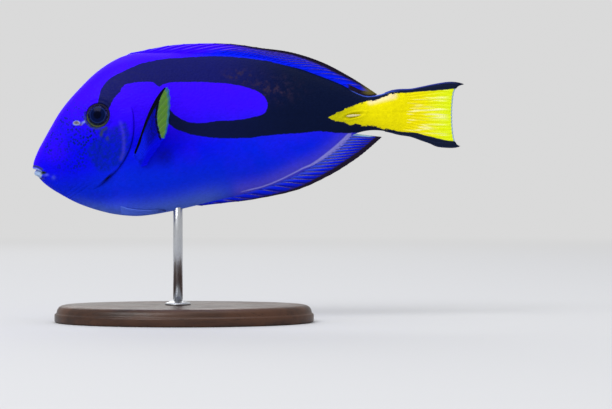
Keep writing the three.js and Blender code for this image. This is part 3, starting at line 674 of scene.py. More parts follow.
def skin_material(look, scales, ragged):
    """Skin over the head, the trunk and the tail stem."""
    colours = {
        "Fore Blue": look.fore_blue, "Rear Blue": look.rear_blue, "Low Blue": look.low_blue,
        # The crest colour is a painted highlight along the head's top edge.
        "Violet": look.violet, "Crest": rgb(92, 52, 248), "Belly": look.belly, "Haze": rgb(84, 76, 214),
        "Stripe": look.stripe, "Fore Black": look.fore_black, "Black": look.black,
        "Brown": rgb(52, 40, 62), "Yellow": look.yellow, "Olive Yellow": look.olive_yellow,
        # The rim colour is a painted highlight on the tail stem's top edge, and the cream colour a painted
        # highlight inside the yellow wedge's upper edge.
        "Cream": CREAM_HIGHLIGHT, "Rim": rgb(66, 92, 205), "Cheek": rgb(0, 30, 138), "Freckle": rgb(0, 24, 84),
        # The olive mark colour is also used for painted shade in the mouth's corner and under the lower lip.
        "Tan": rgb(122, 86, 34), "Pale": rgb(150, 172, 208), "Olive Mark": rgb(48, 60, 52),
        "Shade": rgb(2, 5, 40),
    }
    numbers = {"Scale Size": look.scale_size, "Ragged": look.ragged}
    group = skin_group(colours, numbers, scales, ragged)
    made = {}

    def part(name):
        """Reads an output of the skin group's one node, which is added when it is first read."""
        def read(nodes):
            if "node" not in made:
                made["node"] = nodes.group(group, {**colours, **numbers}, None)
            return made["node"].outputs[name]
        return read

    return new_material(
        "tang_skin", part("Colour"), part("Gloss"), part("Height"), bump=look.scale_relief,
        Specular_IOR_Level=WET_SPECULAR)


def ray_height(nodes):
    """Relief of a fin: its fine grain, and the joints along its rays."""
    joints = nodes.math("SINE", nodes.times(nodes.value("along"), 7.0))
    return nodes.plus(nodes.noise(0.6, 3.0), nodes.times(joints, 0.25))


def fin_material(name, colour):
    """A satin fin of the given colours, with rays' joints in its relief."""
    return new_material(name, colour, 0.45, ray_height, bump=0.05, Specular_IOR_Level=WET_SPECULAR)


def blue_fin_material(look):
    """Membrane and rays of the dorsal, anal and pelvic fins."""

    def colour(nodes):
        out, front, low = nodes.value("out"), nodes.value("front"), nodes.value("anal")
        membrane = nodes.mix(nodes.ramp(out, 0.35, 0.9, 0, 0.8), look.fin_blue, look.fin_dark)
        root = nodes.times(low, nodes.ramp(out, 0.5, 0.12, 0, 0.85))
        membrane = nodes.mix(root, membrane, ANAL_ROOT)
        membrane = nodes.mix(front, membrane, look.violet)
        inner = nodes.mix(low, ANAL_RAY, look.fin_ray)
        rod = nodes.mix(nodes.ramp(out, 0.3, 0.85), inner, RAY_TIP)
        rod = nodes.mix(front, rod, VIOLET_RAY)
        made = nodes.mix(nodes.times(nodes.value("ray"), nodes.value("clear")), membrane, rod)
        # Painted shade on the membrane just beside each raised ray.
        made = nodes.mix(nodes.value("groove"), made, RAY_SHADE)
        made = nodes.mix(nodes.value("stripe"), made, look.stripe)
        made = nodes.mix(nodes.value("pale"), made, ANAL_END)
        made = nodes.mix(nodes.value("belly"), made, look.belly)
        edge = nodes.ramp(nodes.plus(nodes.value("margin"), nodes.wander(1.1, 1.2)), -0.7, 0.45)
        made = nodes.mix(edge, made, look.fin_margin)
        return nodes.mix(nodes.value("gold"), made, DORSAL_END)

    return fin_material("tang_blue_fin", colour)


def tail_fin_material(look, ragged):
    """Membrane and rays of the tail fin: yellow between black lobes, with a pale rear edge."""

    def colour(nodes):
        out, ray = nodes.value("out"), nodes.value("ray")
        edge = {"Tint": nodes.noise(0.8, 2.0), "Ragged": 0.25, "Soft": 0.2}
        yellow = nodes.group(ragged, {"Depth": nodes.value("yellow"), **edge})
        stretch = nodes.add("ShaderNodeMapping", {"Vector": nodes.place(), "Scale": (0.08, 1.0, 1.0)})
        # Pale streaks along the rays, painted as highlights.
        streak = nodes.ramp(nodes.noise(1.5, 2.0, 0.5, stretch), 0.5, 0.72)
        bright = nodes.mix(nodes.ramp(out, 0.45, 0.95, 0, 0.75), look.yellow, look.lime)
        bright = nodes.mix(nodes.value("amber"), bright, look.amber)
        pale = nodes.times(streak, nodes.value("streaks"))
        bright = nodes.mix(pale, bright, TAIL_STREAK_HIGHLIGHT)
        ray_tint = nodes.times(nodes.times(ray, nodes.value("streaks")), 0.5)
        bright = nodes.mix(ray_tint, bright, TAIL_RAY)
        # The cream is a painted highlight inside the wedge's upper edge.
        bright = nodes.mix(nodes.value("cream"), bright, CREAM_HIGHLIGHT)
        bright = nodes.mix(nodes.ramp(out, 0.978, 0.99), bright, TAIL_MARGIN)
        dark = nodes.mix(nodes.times(ray, 0.3), TAIL_LOBE, TAIL_LOBE_RAY)
        # The rim is a painted highlight along the upper edge of the tail fin.
        dark = nodes.mix(nodes.value("rim"), dark, TAIL_RIM_HIGHLIGHT)
        return nodes.mix(yellow, dark, bright)

    return fin_material("tang_tail_fin", colour)


def pectoral_material(look):
    """Membrane and rays of the pectoral fins: blue with dark rays, and a yellow-green outer leaf."""

    def colour(nodes):
        out, ray = nodes.value("out"), nodes.value("ray")
        lead, dark = nodes.value("lead"), nodes.value("dark_rays")
        streaks = nodes.noise(1.2, 3.0)
        wander = nodes.times(nodes.math("SUBTRACT", streaks, 0.5), 0.5)
        root = nodes.mix(nodes.ramp(out, 0.15, 0.6), PECTORAL_ROOT_BLUE, PECTORAL_BLUE)
        shade = nodes.times(dark, nodes.ramp(streaks, 0.3, 0.7, 0.4, 0.75))
        root = nodes.mix(shade, root, PECTORAL_STREAK)
        root = nodes.mix(nodes.times(ray, dark), root, PECTORAL_RAY)
        leaf = nodes.mix(nodes.ramp(streaks, 0.3, 0.7), look.leaf, LEAF_STREAK)
        leaf = nodes.mix(nodes.times(ray, 0.4), leaf, LEAF_RAY)
        leaf = nodes.mix(nodes.ramp(out, 0.94, 0.985), leaf, LEAF_MARGIN)
        edge = nodes.ramp(nodes.plus(nodes.value("leaf"), wander), 0.35, 0.65)
        made = nodes.mix(edge, root, leaf)
        return nodes.mix(nodes.ramp(nodes.plus(lead, wander), 0.35, 0.7), made, PECTORAL_LEAD)

    return fin_material("tang_pectoral_fin", colour)


def eye_material(look):
    """A glossy eye: pupil, speckled dark iris and a narrow ring that is dull gold below."""

    def colour(nodes):
        low = nodes.value("low")
        ring = nodes.plus(nodes.plus(nodes.value("ring"), nodes.wander(0.7, 0.3)), nodes.times(low, 0.25))
        made = nodes.mix(nodes.ramp(ring, 1.6, 2.4), PUPIL, PUPIL_EDGE)
        made = nodes.mix(nodes.ramp(ring, 3.4, 3.75), made, PUPIL_RING)
        specks = nodes.ramp(nodes.noise(0.6, 4.0), 0.5, 0.68)
        iris = nodes.mix(specks, IRIS, nodes.mix(low, IRIS_SPECK, IRIS_SPECK_LOW))
        made = nodes.mix(nodes.ramp(ring, 3.8, 4.05), made, iris)
        gold = nodes.mix(low, EYE_RING, nodes.mix(specks, look.eye_gold, EYE_RING_SPECK))
        made = nodes.mix(nodes.ramp(ring, 4.85, 5.15), made, gold)
        return nodes.mix(nodes.ramp(ring, 5.9, 6.1), made, EYE_EDGE)

    return new_material("tang_eye", colour, 0.14, Specular_IOR_Level=0.035)


def spine_material():
    """Pale bone with a faint grain."""

    return new_material(
        "tang_spine", lambda nodes: nodes.mix(nodes.noise(0.8), BONE, BONE_DARK), 0.3,
        lambda nodes: nodes.noise(0.4), bump=0.03, Coat_Weight=0.3)


def wood_material(look):
    """Dark oiled wood with a long grain and fine pores."""

    def grain(nodes):
        """Places stretched along the base."""
        inputs = {"Vector": nodes.place(), "Scale": (1.0, 7.0, 7.0)}
        return nodes.add("ShaderNodeMapping", inputs)

    def colour(nodes):
        where = grain(nodes)
        bands = nodes.noise(60.0, 5.0, 0.6, where)
        pores = nodes.noise(7.0, 4.0, 0.7, where)
        made = nodes.mix(nodes.ramp(bands, 0.35, 0.65), look.wood, look.wood_light)
        return nodes.mix(nodes.ramp(pores, 0.55, 0.7, 0, 0.6), made, WOOD_PORE)

    return new_material(
        "base_wood", colour, lambda nodes: nodes.ramp(nodes.noise(12.0), 0.3, 0.7, 0.3, 0.42),
        lambda nodes: nodes.noise(5.0, 4.0, 0.7, grain(nodes)), bump=0.08, Specular_IOR_Level=0.3)


def steel_material():
    """Satin steel, brushed along its length."""

    def brushed(nodes):
        """Noise stretched along the rod."""
        inputs = {"Vector": nodes.place(), "Scale": (1.0, 1.0, 0.04)}
        return nodes.noise(0.25, 3.0, 0.6, nodes.add("ShaderNodeMapping", inputs))

    return new_material(
        "stand_steel", lambda nodes: nodes.mix(nodes.noise(9.0), STEEL, STEEL_LIGHT),
        lambda nodes: nodes.ramp(brushed(nodes), 0.2, 0.8, 0.24, 0.38), brushed, bump=0.01, Metallic=1.0)


# The skin.

HEAD_RIBS, TRUNK_RIBS, STEM_RIBS, END_RIBS = 190, 98, 30, 14
SIDE_COLUMNS = 140
# Past the tail stem the skin runs on, thinning, between the sides of the tail fin's root.
SKIN_END = 14.0
# The fold of the gill cover's edge: how far each of its ribs is moved to the rear, and out.
GILL_FOLD = [(0.45, 0.45), (0.6, 0.3), (0.5, 0.05), (0.0, -0.35), (-0.6, -0.5), (-0.5, -0.5)]
FOLD_STEP = 0.15


def skin_ribs():
    """The skin's ribs from snout to tail, one row (top, bottom, bow, skew) each."""
    m = (np.arange(1, HEAD_RIBS + 1) / HEAD_RIBS) ** 1.6
    head = [lerp(SNOUT_X, GILL_TOP_X, m), lerp(SNOUT_X, GILL_BOTTOM_X, m), GILL_BOW * m, GILL_SKEW * m]
    step = FOLD_STEP * np.arange(1, len(GILL_FOLD))
    fold = [GILL_TOP_X + step, GILL_BOTTOM_X + step, 0 * step + GILL_BOW, 0 * step + GILL_SKEW]
    s = (np.arange(1, TRUNK_RIBS + 1) / TRUNK_RIBS) ** 1.15
    start = FOLD_STEP * len(GILL_FOLD)
    trunk = [lerp(GILL_TOP_X + start, TAIL_CUT_X, s), lerp(GILL_BOTTOM_X + start, TAIL_CUT_X, s),
             GILL_BOW * (1 - s) ** 2, GILL_SKEW * (1 - s) ** 2]
    x = lerp(TAIL_CUT_X, CAUDAL_ROOT_X, np.arange(1, STEM_RIBS + 1) / STEM_RIBS)
    end = CAUDAL_ROOT_X + SKIN_END * np.arange(1, END_RIBS + 1) / END_RIBS
    stem = [np.concatenate([x, end])] * 2 + [np.zeros(STEM_RIBS + END_RIBS)] * 2
    return np.concatenate([np.stack(part, -1) for part in (head, fold, trunk, stem)])


def girth_turns():
    """Places round one side, from belly to back, closest together at the keels and by the eye."""
    t = np.sin(np.linspace(-math.pi / 2, math.pi / 2, 4001))
    density = 1 / np.sqrt(1.004 - t**2) * (1 + 1.5 * bell(t - 0.38, 0.24))
    total = np.concatenate([[0], np.cumsum((density[1:] + density[:-1]) / 2 * np.diff(t))])
    return np.interp(np.linspace(0, total[-1], SIDE_COLUMNS + 1), total, t)


def mouth_relief(x, z):
    """Lips on both sides of the mouth's line, and the fold that runs down from its corner."""
    share = (x - MOUTH_FRONT[0]) / (MOUTH_CORNER[0] - MOUTH_FRONT[0])
    line = lerp(MOUTH_FRONT[1], MOUTH_CORNER[1], np.clip(share, 0, 1.3))
    reach = smooth((1.12 - share) / 0.3)
    lips = sum(height * bell(z - line - middle, width) for middle, width, height in LIPS)
    return lips * reach - 0.3 * bell(line_distance(x, z, MOUTH_FOLD), 0.45)


def back_rise(x, z, middle, reach, height):
    """A low rise along the back, within a few millimetres of its top."""
    return height * bell(x - middle, reach) * smooth((z - back(x) + 3) / 3)


def head_relief(x, z, surface):
    """Height of the eye socket, nostrils, mouth, cheek and throat over the plain head."""
    ring = eye_distance(surface)
    relief = ORBIT_RIM * bell(ring - ORBIT_RADIUS, ORBIT_WIDTH)
    relief -= SOCKET_DEPTH * smooth((SOCKET_RADIUS - ring) / SOCKET_WALL)
    relief += BROW_HEIGHT * bell(ring - BROW_RADIUS, BROW_WIDTH) * smooth((z - EYE_Z) / 3)
    for middle, radii, rim, rim_width, rim_height, pit_width, pit_depth in NOSTRILS:
        away = from_spot(x, z, middle, radii)
        relief += rim_height * bell(away - rim, rim_width) - pit_depth * bell(away, pit_width)
    relief += mouth_relief(x, z)
    relief -= 0.3 * bell(line_distance(x, z, COVER_FRONT), 0.5)
    throat = smooth((66 - z) / 4)
    for offset in THROAT_CREASES:
        relief -= 0.14 * bell(gill_x(z) - offset - x, 0.5) * throat * smooth((x + 92) / 6)
    return relief + back_rise(x, z, *HEAD_RISE)


def trunk_relief(x, z):
    """Height of the fin roots, the flank's midline and the folded spine's groove over the plain trunk."""
    relief = 0.5 * bell(line_distance(x, z, PECTORAL_ROOT), 2.2)
    pelvic = line_distance(x, z, [(root, belly(root) + 3) for root in PELVIC_ROOT_X])
    relief += 0.5 * bell(pelvic, 2.6)
    middle = MIDLINE_Z + MIDLINE_SLOPE * (x - MIDLINE_X)
    relief -= 0.1 * bell(z - middle, 0.8) * smooth((x + 45) / 15)
    behind, above = x - GROOVE_X, z - GROOVE_Z
    along = behind * math.cos(GROOVE_TILT) + above * math.sin(GROOVE_TILT)
    across = -behind * math.sin(GROOVE_TILT) + above * math.cos(GROOVE_TILT)
    groove = np.hypot(along / GROOVE_LENGTH, across / GROOVE_WIDTH)
    return relief - GROOVE_DEPTH * smooth((1.15 - groove) / 0.5) + 0.22 * bell(groove - 1.4, 0.3)


def skin_values(points, x, z):
    """The soft patches of colour on the skin, from 0 to 1, among them painted shadow and painted highlights,
    and how deep it lies in the two markings.
    """
    seen_x, seen_z = as_seen(points)
    high, low = back(x) - z, z - belly(x)
    values = {"black": outline_depth(seen_x, seen_z, BLACK_MARK)}
    values["yellow"] = outline_depth(seen_x, seen_z, YELLOW_WEDGE)

    # Blues, from head to tail and from back to belly.
    values["fore"] = smooth((10 - seen_x) / 50)
    values["low"] = smooth((lerp(72, 83, smooth((seen_x + 86) / 30)) - seen_z) / 18)
    along_back = smooth((seen_z - 113.5) / 5) * smooth((seen_x + 34) / 20)
    upper = 0.9 * smooth((seen_z - 80) / 25) * (1 - along_back)
    forehead = bell(high, 7.0) * smooth((-28 - x) / 16)
    snout = 0.5 * smooth((-80 - seen_x) / 12) * smooth((seen_z - 71) / 8)
    values["violet"] = np.max([upper, forehead, snout], axis=0)
    # A painted highlight along the top edge of the head and the front of the back.
    values["crest"] = 0.4 * bell(high, 1.7) * smooth((-30 - x) / 10) * smooth((seen_z - 74) / 8)

    # The pale edge of the belly, and the stripe and haze over the anal fin.
    keel = lerp(3.2, 6.0, smooth((x + 76) / 26))
    values["belly"] = 0.9 * bell(low, keel) * smooth((x + 86) / 18) * smooth((2 - x) / 26)
    haze = 0.85 * bell(line_distance(seen_x, seen_z, ANAL_STRIPE), 4.2)
    values["haze"] = haze * smooth((x + 18) / 16) * lerp(1, 0.75, smooth((x - 12) / 20))
    values["stripe"] = stripe_value(seen_x, seen_z)

    # The cheek, the throat and the face's freckles.
    cheek = outline_depth(seen_x, seen_z, DARK_CHEEK)
    throat = 0.35 * smooth((71 - seen_z) / 8) * smooth((-58 - seen_x) / 12)
    values["cheek"] = np.maximum(smooth((cheek + 0.8) / 2.2), throat)
    values["violet_line"] = bell(line_distance(seen_x, seen_z, VIOLET_LINE), 0.8)
    face = smooth((1.05 - from_spot(seen_x, seen_z, (-83, 86), (15, 18))) / 0.3)
    thick = bell(from_spot(seen_x, seen_z, (-75.5, 85.5)), 6.5)
    freckles = face * (0.7 + 0.3 * thick) * (1 - 0.5 * values["cheek"])
    values["freckles"] = freckles * smooth((high - 1.5) / 4)

    # The painted shadow of the pectoral fin behind it, what lies in the black mark, and the yellow wedge.
    smudge = from_spot(seen_x, seen_z, (-39, 76.5), (5, 6))
    values["smudge"] = 0.45 * smooth((1.15 - smudge) / 0.9)
    blotches = bell(seen_x + 4, 7) * bell(seen_z - 114, 3)
    blotches += bell(seen_x - 11, 10) * bell(seen_z - 108, 5)
    values["brown"] = np.clip(blotches, 0, 1)
    values["fore_black"] = smooth((24 - seen_x) / 44) * lerp(0.2, 1.0, smooth((seen_z - 96) / 12))
    # The rim: a painted highlight along the top edge of the tail stem, where it is lit from above.
    values["rim"] = 0.8 * smooth((0.75 - high) / 0.4) * smooth((x - 46) / 3) * smooth((72 - x) / 8)
    # A painted cream highlight inside the yellow wedge's upper edge.
    values["cream"] = cream_highlight_value(seen_x, seen_z, (67, 105))
    values["olive"] = smooth((60 - seen_x) / 22)
    return values


def olive_marks(x, z):
    """The dull olive marks under the eye, on the lower front of its rim and above the upper lip, and painted
    shade in the same colour in the mouth's corner and under the lower lip.
    """
    hook = line_distance(x, z, [(-67.4, 86.2), (-66.9, 88.2), (-65.0, 89.5)])
    spot = from_spot(x, z, (-64.4, 84.7), (0.8, 1.1))
    ahead, below = EYE_X - x, EYE_Z - z
    rim = bell(np.hypot(ahead, below) - 6.1, 0.5) * smooth((0.6 * ahead + 0.8 * below - 2) / 3)
    lip = line_distance(x, z, [(-99.8, 72.4), (-97.4, 71.9), (-95.2, 70.7)])
    # The mouth's corner and the place under the lower lip are darkened as painted shade.
    corner = from_spot(x, z, (-94.8, 69.2), (1.1, 0.75))
    under = from_spot(x, z, (-95.8, 66.5), (1.3, 0.5))
    round_lips = [0.8 * smooth((0.7 - lip) / 0.5), smooth(1.5 - corner), 0.6 * smooth(1.5 - under)]
    by_eye = [0.8 * smooth((1.0 - hook) / 0.7), 0.5 * smooth(1.5 - spot), 0.85 * rim]
    return np.max(by_eye + round_lips, axis=0)


def tan_value(x, z):
    """The tan marks in the nostril and below it."""
    nostril = from_spot(x, z, NOSTRIL, (1.2, 0.6))
    below = from_spot(x, z, (-76.9, 90.9), (0.7, 0.3))
    return np.maximum(np.minimum(1.6 * smooth(1.5 - nostril), 1), smooth(1.5 - below))


def pale_value(x, z):
    """The pale lips, two faint spots behind them, the nostril's flap and a streak from it to the eye."""
    lip = from_spot(x, z, (-97.2, 68.6), (2.3, 2.0))
    upper = line_distance(x, z, [(-100, 71.2), (-98, 70.8), (-96, 70)])
    flap = from_spot(x, z, (NOSTRIL[0] + 0.1, NOSTRIL[1] - 0.1), (1.9, 1.15))
    streak = line_distance(x, z, [NOSTRIL_SLIT, (-74.9, 92.6)])
    spots = 0.22 * bell(from_spot(x, z, (-93.4, 68.2), (1, 0.625)), 1.0)
    spots += 0.14 * bell(from_spot(x, z, (-90, 66.9)), 0.9)
    lips = [smooth((1.1 - lip) / 0.35), 0.8 * smooth((0.8 - upper) / 0.5), spots]
    nostril = [0.9 * smooth((1.1 - flap) / 0.4), 0.7 * bell(streak, 0.45)]
    return np.clip(np.max(lips + nostril, axis=0), 0, 1)


def make_skin(look):
    """One skin over the head, jaw, gill covers, trunk and tail stem, with the markings."""
    ribs, turns = skin_ribs(), girth_turns()
    x, z = rib_point([column[:, None] for column in ribs.T], turns[None, :])
    past = np.clip((x - CAUDAL_ROOT_X) / SKIN_END, 0, 1)
    y = -thickness_at(x, z) * (1 - past) ** 1.6
    surface = np.stack([x, y, z], -1)

    # The left side's directions to the rear and out of the skin.
    rear = np.gradient(surface, axis=0)
    rear /= np.maximum(np.linalg.norm(rear, axis=-1, keepdims=True), 1e-9)
    normal = np.cross(rear, np.gradient(surface, axis=1))
    normal *= -np.sign(normal[..., 1:2] + 1e-12)
    # On the keels the two sides' normals agree: down along the belly, up along the back.
    for edge, up in ((0, -1.0), (-1, 1.0)):
        along = rear[:, edge]
        normal[:, edge] = np.stack([-up * along[:, 2], 0 * along[:, 1], up * along[:, 0]], -1)
    normal /= np.maximum(np.linalg.norm(normal, axis=-1, keepdims=True), 1e-9)

    # The gill cover's edge is folded within a window of its height, and its step fades fore and aft.
    window = smooth((z - GILL_END_Z) / 3.5) * smooth((GILL_END_TURN - turns) / 0.14)
    ahead = gill_x(z) - x
    cover = COVER_PROUD * np.exp(-np.maximum(ahead, 0) / COVER_FADE)
    trunk = -GILL_STEP * np.exp(np.minimum(ahead, 0) / GILL_FADE)
    relief = np.where(ahead > 0, cover, trunk) * window
    shift = np.zeros_like(x)
    first = HEAD_RIBS - 1
    for i, (move, lift) in enumerate(GILL_FOLD):
        shift[first + i] = move * window[first + i]
        relief[first + i] = lift * window[first + i]
    relief += head_relief(x, z, surface) * smooth((-50 - x) / 2)
    relief += back_rise(x, z, *FIN_RISE)
    relief += trunk_relief(x, z) * smooth((ribs[:, :1] + 59) / 0.5)
    relief *= smooth(np.abs(y) / 0.6 + smooth((-96 - x) / 2))
    left = surface + normal * relief[..., None] + rear * shift[..., None]

    # Colours, with shade in the gill opening and in the eye's socket.
    values = skin_values(left, x, z)
    values.update(pale=pale_value(x, z), tan=tan_value(x, z), olive_marks=olive_marks(x, z))
    gap = np.zeros_like(x)
    fold = slice(first + 2, first + 6)
    gap[fold] = window[fold] * smooth((z[fold] - 63) / 3) * lerp(0.3, 0.85, smooth((90 - z[fold]) / 6))
    crease = smooth((1.0 - np.abs(x - gill_x(z) - 0.3)) / 0.5) * bell(z - 66.8, 2.4)
    socket = smooth((5.9 - eye_distance(surface)) / 0.35)
    values["gap"] = np.max([gap, crease, socket], axis=0)

    # The right side mirrors the left, and the tail swings.
    right = left[:, -2:0:-1] * (1, -1, 1)
    points = swung(np.concatenate([left, right], 1))
    values = {key: np.concatenate([v, v[:, -2:0:-1]], 1) for key, v in values.items()}
    rows, columns = points.shape[:2]
    points, faces = lathed(points)
    values = {key: np.concatenate([v.ravel(), v[[0, -1]].mean(1)]) for key, v in values.items()}
    material = skin_material(look, scale_group(), ragged_group())
    piece = new_piece("tang_skin", points, faces, material, values, skin_map(faces, rows, columns))
    settle(piece, "skin", "head", "lower_jaw", "gill_cover_left", "gill_cover_right", "trunk", "tail_stem")


def skin_map(faces, rows, columns):
    """The skin laid out flat: along the fish from left to right, round it from bottom to top."""
    rim, span = 0.01, 0.98
    places = []
    for face in faces:
        ring = [index % columns for index in face if index < rows * columns]
        wraps = max(ring) - min(ring) > columns / 2
        for index in face:
            if index >= rows * columns:
                row, column = (0 if index == rows * columns else rows - 1), np.mean(ring)
            else:
                row, column = divmod(index, columns)
                column += columns if wraps and column < columns / 2 else 0
            places.append((rim + span * row / (rows - 1), rim + span * column / columns))
    return places


# Eyes and tail spines.

EYE_COLUMNS, EYE_ROWS = 72, 40
SPINE_COLUMNS, SPINE_ROWS = 16, 24
# Half of a folded spine's height and of its thickness, where it is widest.
SPINE_HEIGHT, SPINE_THICKNESS = 0.62, 0.34


def turns_round(count):
    """Angles evenly round a circle."""
    return np.linspace(0, 2 * math.pi, count, endpoint=False)


def flat_ball(centre, normal, radius, depth):
    """Rings of a ball that is flattened along the normal, each row further out along it."""
    turn = Vector((0, 0, 1)).rotation_difference(Vector(normal)).to_matrix()
    angle = turns_round(EYE_COLUMNS)
    rise = np.linspace(-math.pi / 2, math.pi / 2, EYE_ROWS + 2)[1:-1, None]
    reach = radius * np.cos(rise)
    shape = np.stack([reach * np.cos(angle), reach * np.sin(angle), depth * np.sin(rise) + 0 * angle], -1)
    return shape @ np.array(turn).T + centre


def make_eyes(look):
    """Two eyes, dark with a narrow gold ring, set in their sockets."""
    material = eye_material(look)
    for name, side in SIDES.items():
        centre, normal = eye_place(side, EYE_PROUD - EYE_DEPTH)
        points, faces = lathed(flat_ball(centre, normal, EYE_RADIUS, EYE_DEPTH))
        offset = points - centre
        out = offset @ normal
        ring = np.sqrt(np.maximum((offset**2).sum(-1) - out**2, 0))
        low = smooth((2.5 - offset[:, 2]) / 5) * smooth((offset[:, 0] * -0.6 + 4) / 4)
        piece = new_piece(f"tang_eye_{name}", points, faces, material, {"ring": ring, "low": low})
        settle(piece, "eye", f"eye_{name}")


def make_spines():
    """The folded spine in its groove on each side of the tail stem."""
    material = spine_material()
    angle = turns_round(SPINE_COLUMNS)[:, None]
    up = np.array([0, 0, 1.0])
    for name, side in SIDES.items():
        low, high = node_box(f"scalpel_{name}")
        rings = []
        for share in np.linspace(0.02, 0.98, SPINE_ROWS):
            width = math.sin(math.pi * share) ** 0.6 * (1.1 - 0.5 * share)
            x = lerp(low[0] + 0.2, high[0] - 0.2, share)
            z = lerp(low[2] + 0.85, high[2] - 0.85, share)
            surface, normal = over_skin(np.array(x), np.array(z), side, 0.0)
            rise = np.cos(angle) * up * SPINE_HEIGHT * width
            rings.append(swung(surface) + rise + np.sin(angle) * normal * SPINE_THICKNESS * width)
        points, faces = lathed(rings)
        settle(new_piece(f"tang_spine_{name}", points, faces, material), "spine", f"scalpel_{name}")


# Fins.

# How many gaps between rays each fin has, and how many of its front rays are unbranched spines.
DORSAL_COUNT, DORSAL_SPINES = 28, 9
ANAL_COUNT, ANAL_SPINES = 22, 3
CAUDAL_COUNT, PECTORAL_COUNT, PELVIC_COUNT = 17, 13, 5
# Rays of the fins on the back and belly, from front to rear: root x, tip x, tip z and how far they arch.
DORSAL_RAYS = [
    [-61, -54, 124.9, 0.6], [-54, -36.7, 128.15, 0.9], [-46, -22.8, 129.1, 0.8], [-34, -8, 128.9, 1.0],
    [-20, 6.5, 126.9, 1.3], [-6, 20.5, 124.8, 1.8], [5, 35, 119.9, 2.8], [20, 48.5, 112.7, 2.6],
    [55, 59.3, 105.8, 0],
]
ANAL_RAYS = [
    [-28, -21.5, 54, 0], [-21, -9.5, 55.4, 0], [-13, 2, 56.8, 0], [5.3, 22, 61.1, -0.4],
    [18.2, 37.4, 68, 0.3], [28.5, 48.7, 75, 0.8], [35.3, 54.7, 79.6, 0.6], [41.2, 58.7, 83.1, 0.2],
    [46.6, 61.6, 85.7, 0],
]
# The pectoral fin's margin from its leading edge down: x and z.
PECTORAL_TIPS = [
    [-36.7, 107], [-35, 106.4], [-34.4, 101.5], [-34.9, 95.5], [-36, 89],
    [-37.9, 83.8], [-41, 79.7], [-44, 76], [-46.1, 72.6],
]
# How deep its root lies in the body, how far it stands out and curls back again for its length, and how far
# and in which direction its leading rays bow.
PECTORAL_SUNK, PECTORAL_OUT, PECTORAL_CURL = 2.0, 0.62, 0.14
PECTORAL_BOW, PECTORAL_BOW_WAY = 11, (-0.87, 0.49)
# The tail fin's upper and lower edge, its rear margin's middle and sweep, and how far its tips run on.
CAUDAL_UPPER = through(
    [66, 70, 75, 80, 86, 92, 96, 100], [107.3, 107.8, 108, 109, 110.3, 111.3, 111.3, 110.4])
CAUDAL_LOWER = through(
    [66, 70, 75, 80, 84, 87, 92, 95.5, 98.2], [88, 87, 86.2, 84.4, 83, 81.6, 81, 81, 81.6])
CAUDAL_MARGIN_X, CAUDAL_SWEEP = 94.4, 1.5
CAUDAL_UPPER_TIP, CAUDAL_LOWER_TIP = 4.1, 2.3
# How deep the roots of the fins on back and belly, and of the tail fin, lie in the body.
ROOT_DEPTH, CAUDAL_ROOT_DEPTH = 1.6, 3.0
# Half of the thickness at the root: of the fins on back and belly, of the tail fin in its middle and at its
# edges, and of the pectoral fins in front, with how much less it is at their rear.
MEMBRANE_ROOT, CAUDAL_FLESH, CAUDAL_THINNEST = 0.3, 2.3, 0.4
PECTORAL_THICK, PECTORAL_THINNER = 0.45, 0.2
# The same of the pelvic fins, at root and tip.
PELVIC_THICK, PELVIC_THIN = 0.55, 0.25
# How wide the dark margin of the dorsal and the anal fin is: at each x, its width.
DORSAL_MARGIN = ([-26, -14, 0, 20, 40, 50, 57], [-1.2, 0.1, 0.7, 1.2, 1.9, 1.1, 0.8])
ANAL_MARGIN = ([-22, 0, 22, 37, 48, 60], [-0.6, 0.4, 1.3, 2.2, 2.7, 2.7])


def table_curves(table):
    """Each column of a table as a curve over 0 to 1."""
    keys = np.linspace(0, 1, len(table))
    return [through(keys, column) for column in np.array(table, float).T]


def edge_fin(table, edge, sign, spine_share, spine_reach):
    """Where a fin on the back or belly is at u along its rays and v out to its margin.

    The first spine_share of its rays are spines, which stand wider apart, over spine_reach of the root.
    """
    root_x, tip_x, tip_z, arch = table_curves(table)
    place = through([0, spine_share, 1], [0, spine_reach, 1])

    def centre(u, v):
        u, v = place(u), np.asarray(v)
        x = root_x(u)
        root = np.stack([x, 0 * x, edge(x) - sign * ROOT_DEPTH], -1)
        tip = np.stack([tip_x(u), 0 * x, tip_z(u)], -1)
        point = lerp(root, tip, v[..., None])
        point[..., 2] += sign * arch(u) * 4 * v * (1 - v)
        return point

    return centre


def caudal_fin(u, v):
    """Where the tail fin is: u from its lower to its upper edge, v to its rear margin."""
    w = u * 2 - 1
    lobes = np.where(w > 0, CAUDAL_UPPER_TIP, CAUDAL_LOWER_TIP) * np.abs(w) ** 12
    root = CAUDAL_ROOT_X - CAUDAL_ROOT_DEPTH
    x = lerp(root, CAUDAL_MARGIN_X + CAUDAL_SWEEP * w**2 + lobes, v)
    high_x = lerp(root, CAUDAL_MARGIN_X + CAUDAL_SWEEP + CAUDAL_UPPER_TIP, v)
    low_x = lerp(root, CAUDAL_MARGIN_X + CAUDAL_SWEEP + CAUDAL_LOWER_TIP, v)
    inset = 0.2 * (1 - smooth(v * 8))
    high = np.where(high_x < CAUDAL_ROOT_X, back(high_x), CAUDAL_UPPER(high_x)) - inset
    low = np.where(low_x < CAUDAL_ROOT_X, belly(low_x), CAUDAL_LOWER(low_x)) + inset
    return np.stack([x, 0 * x, lerp(low, high, u)], -1)


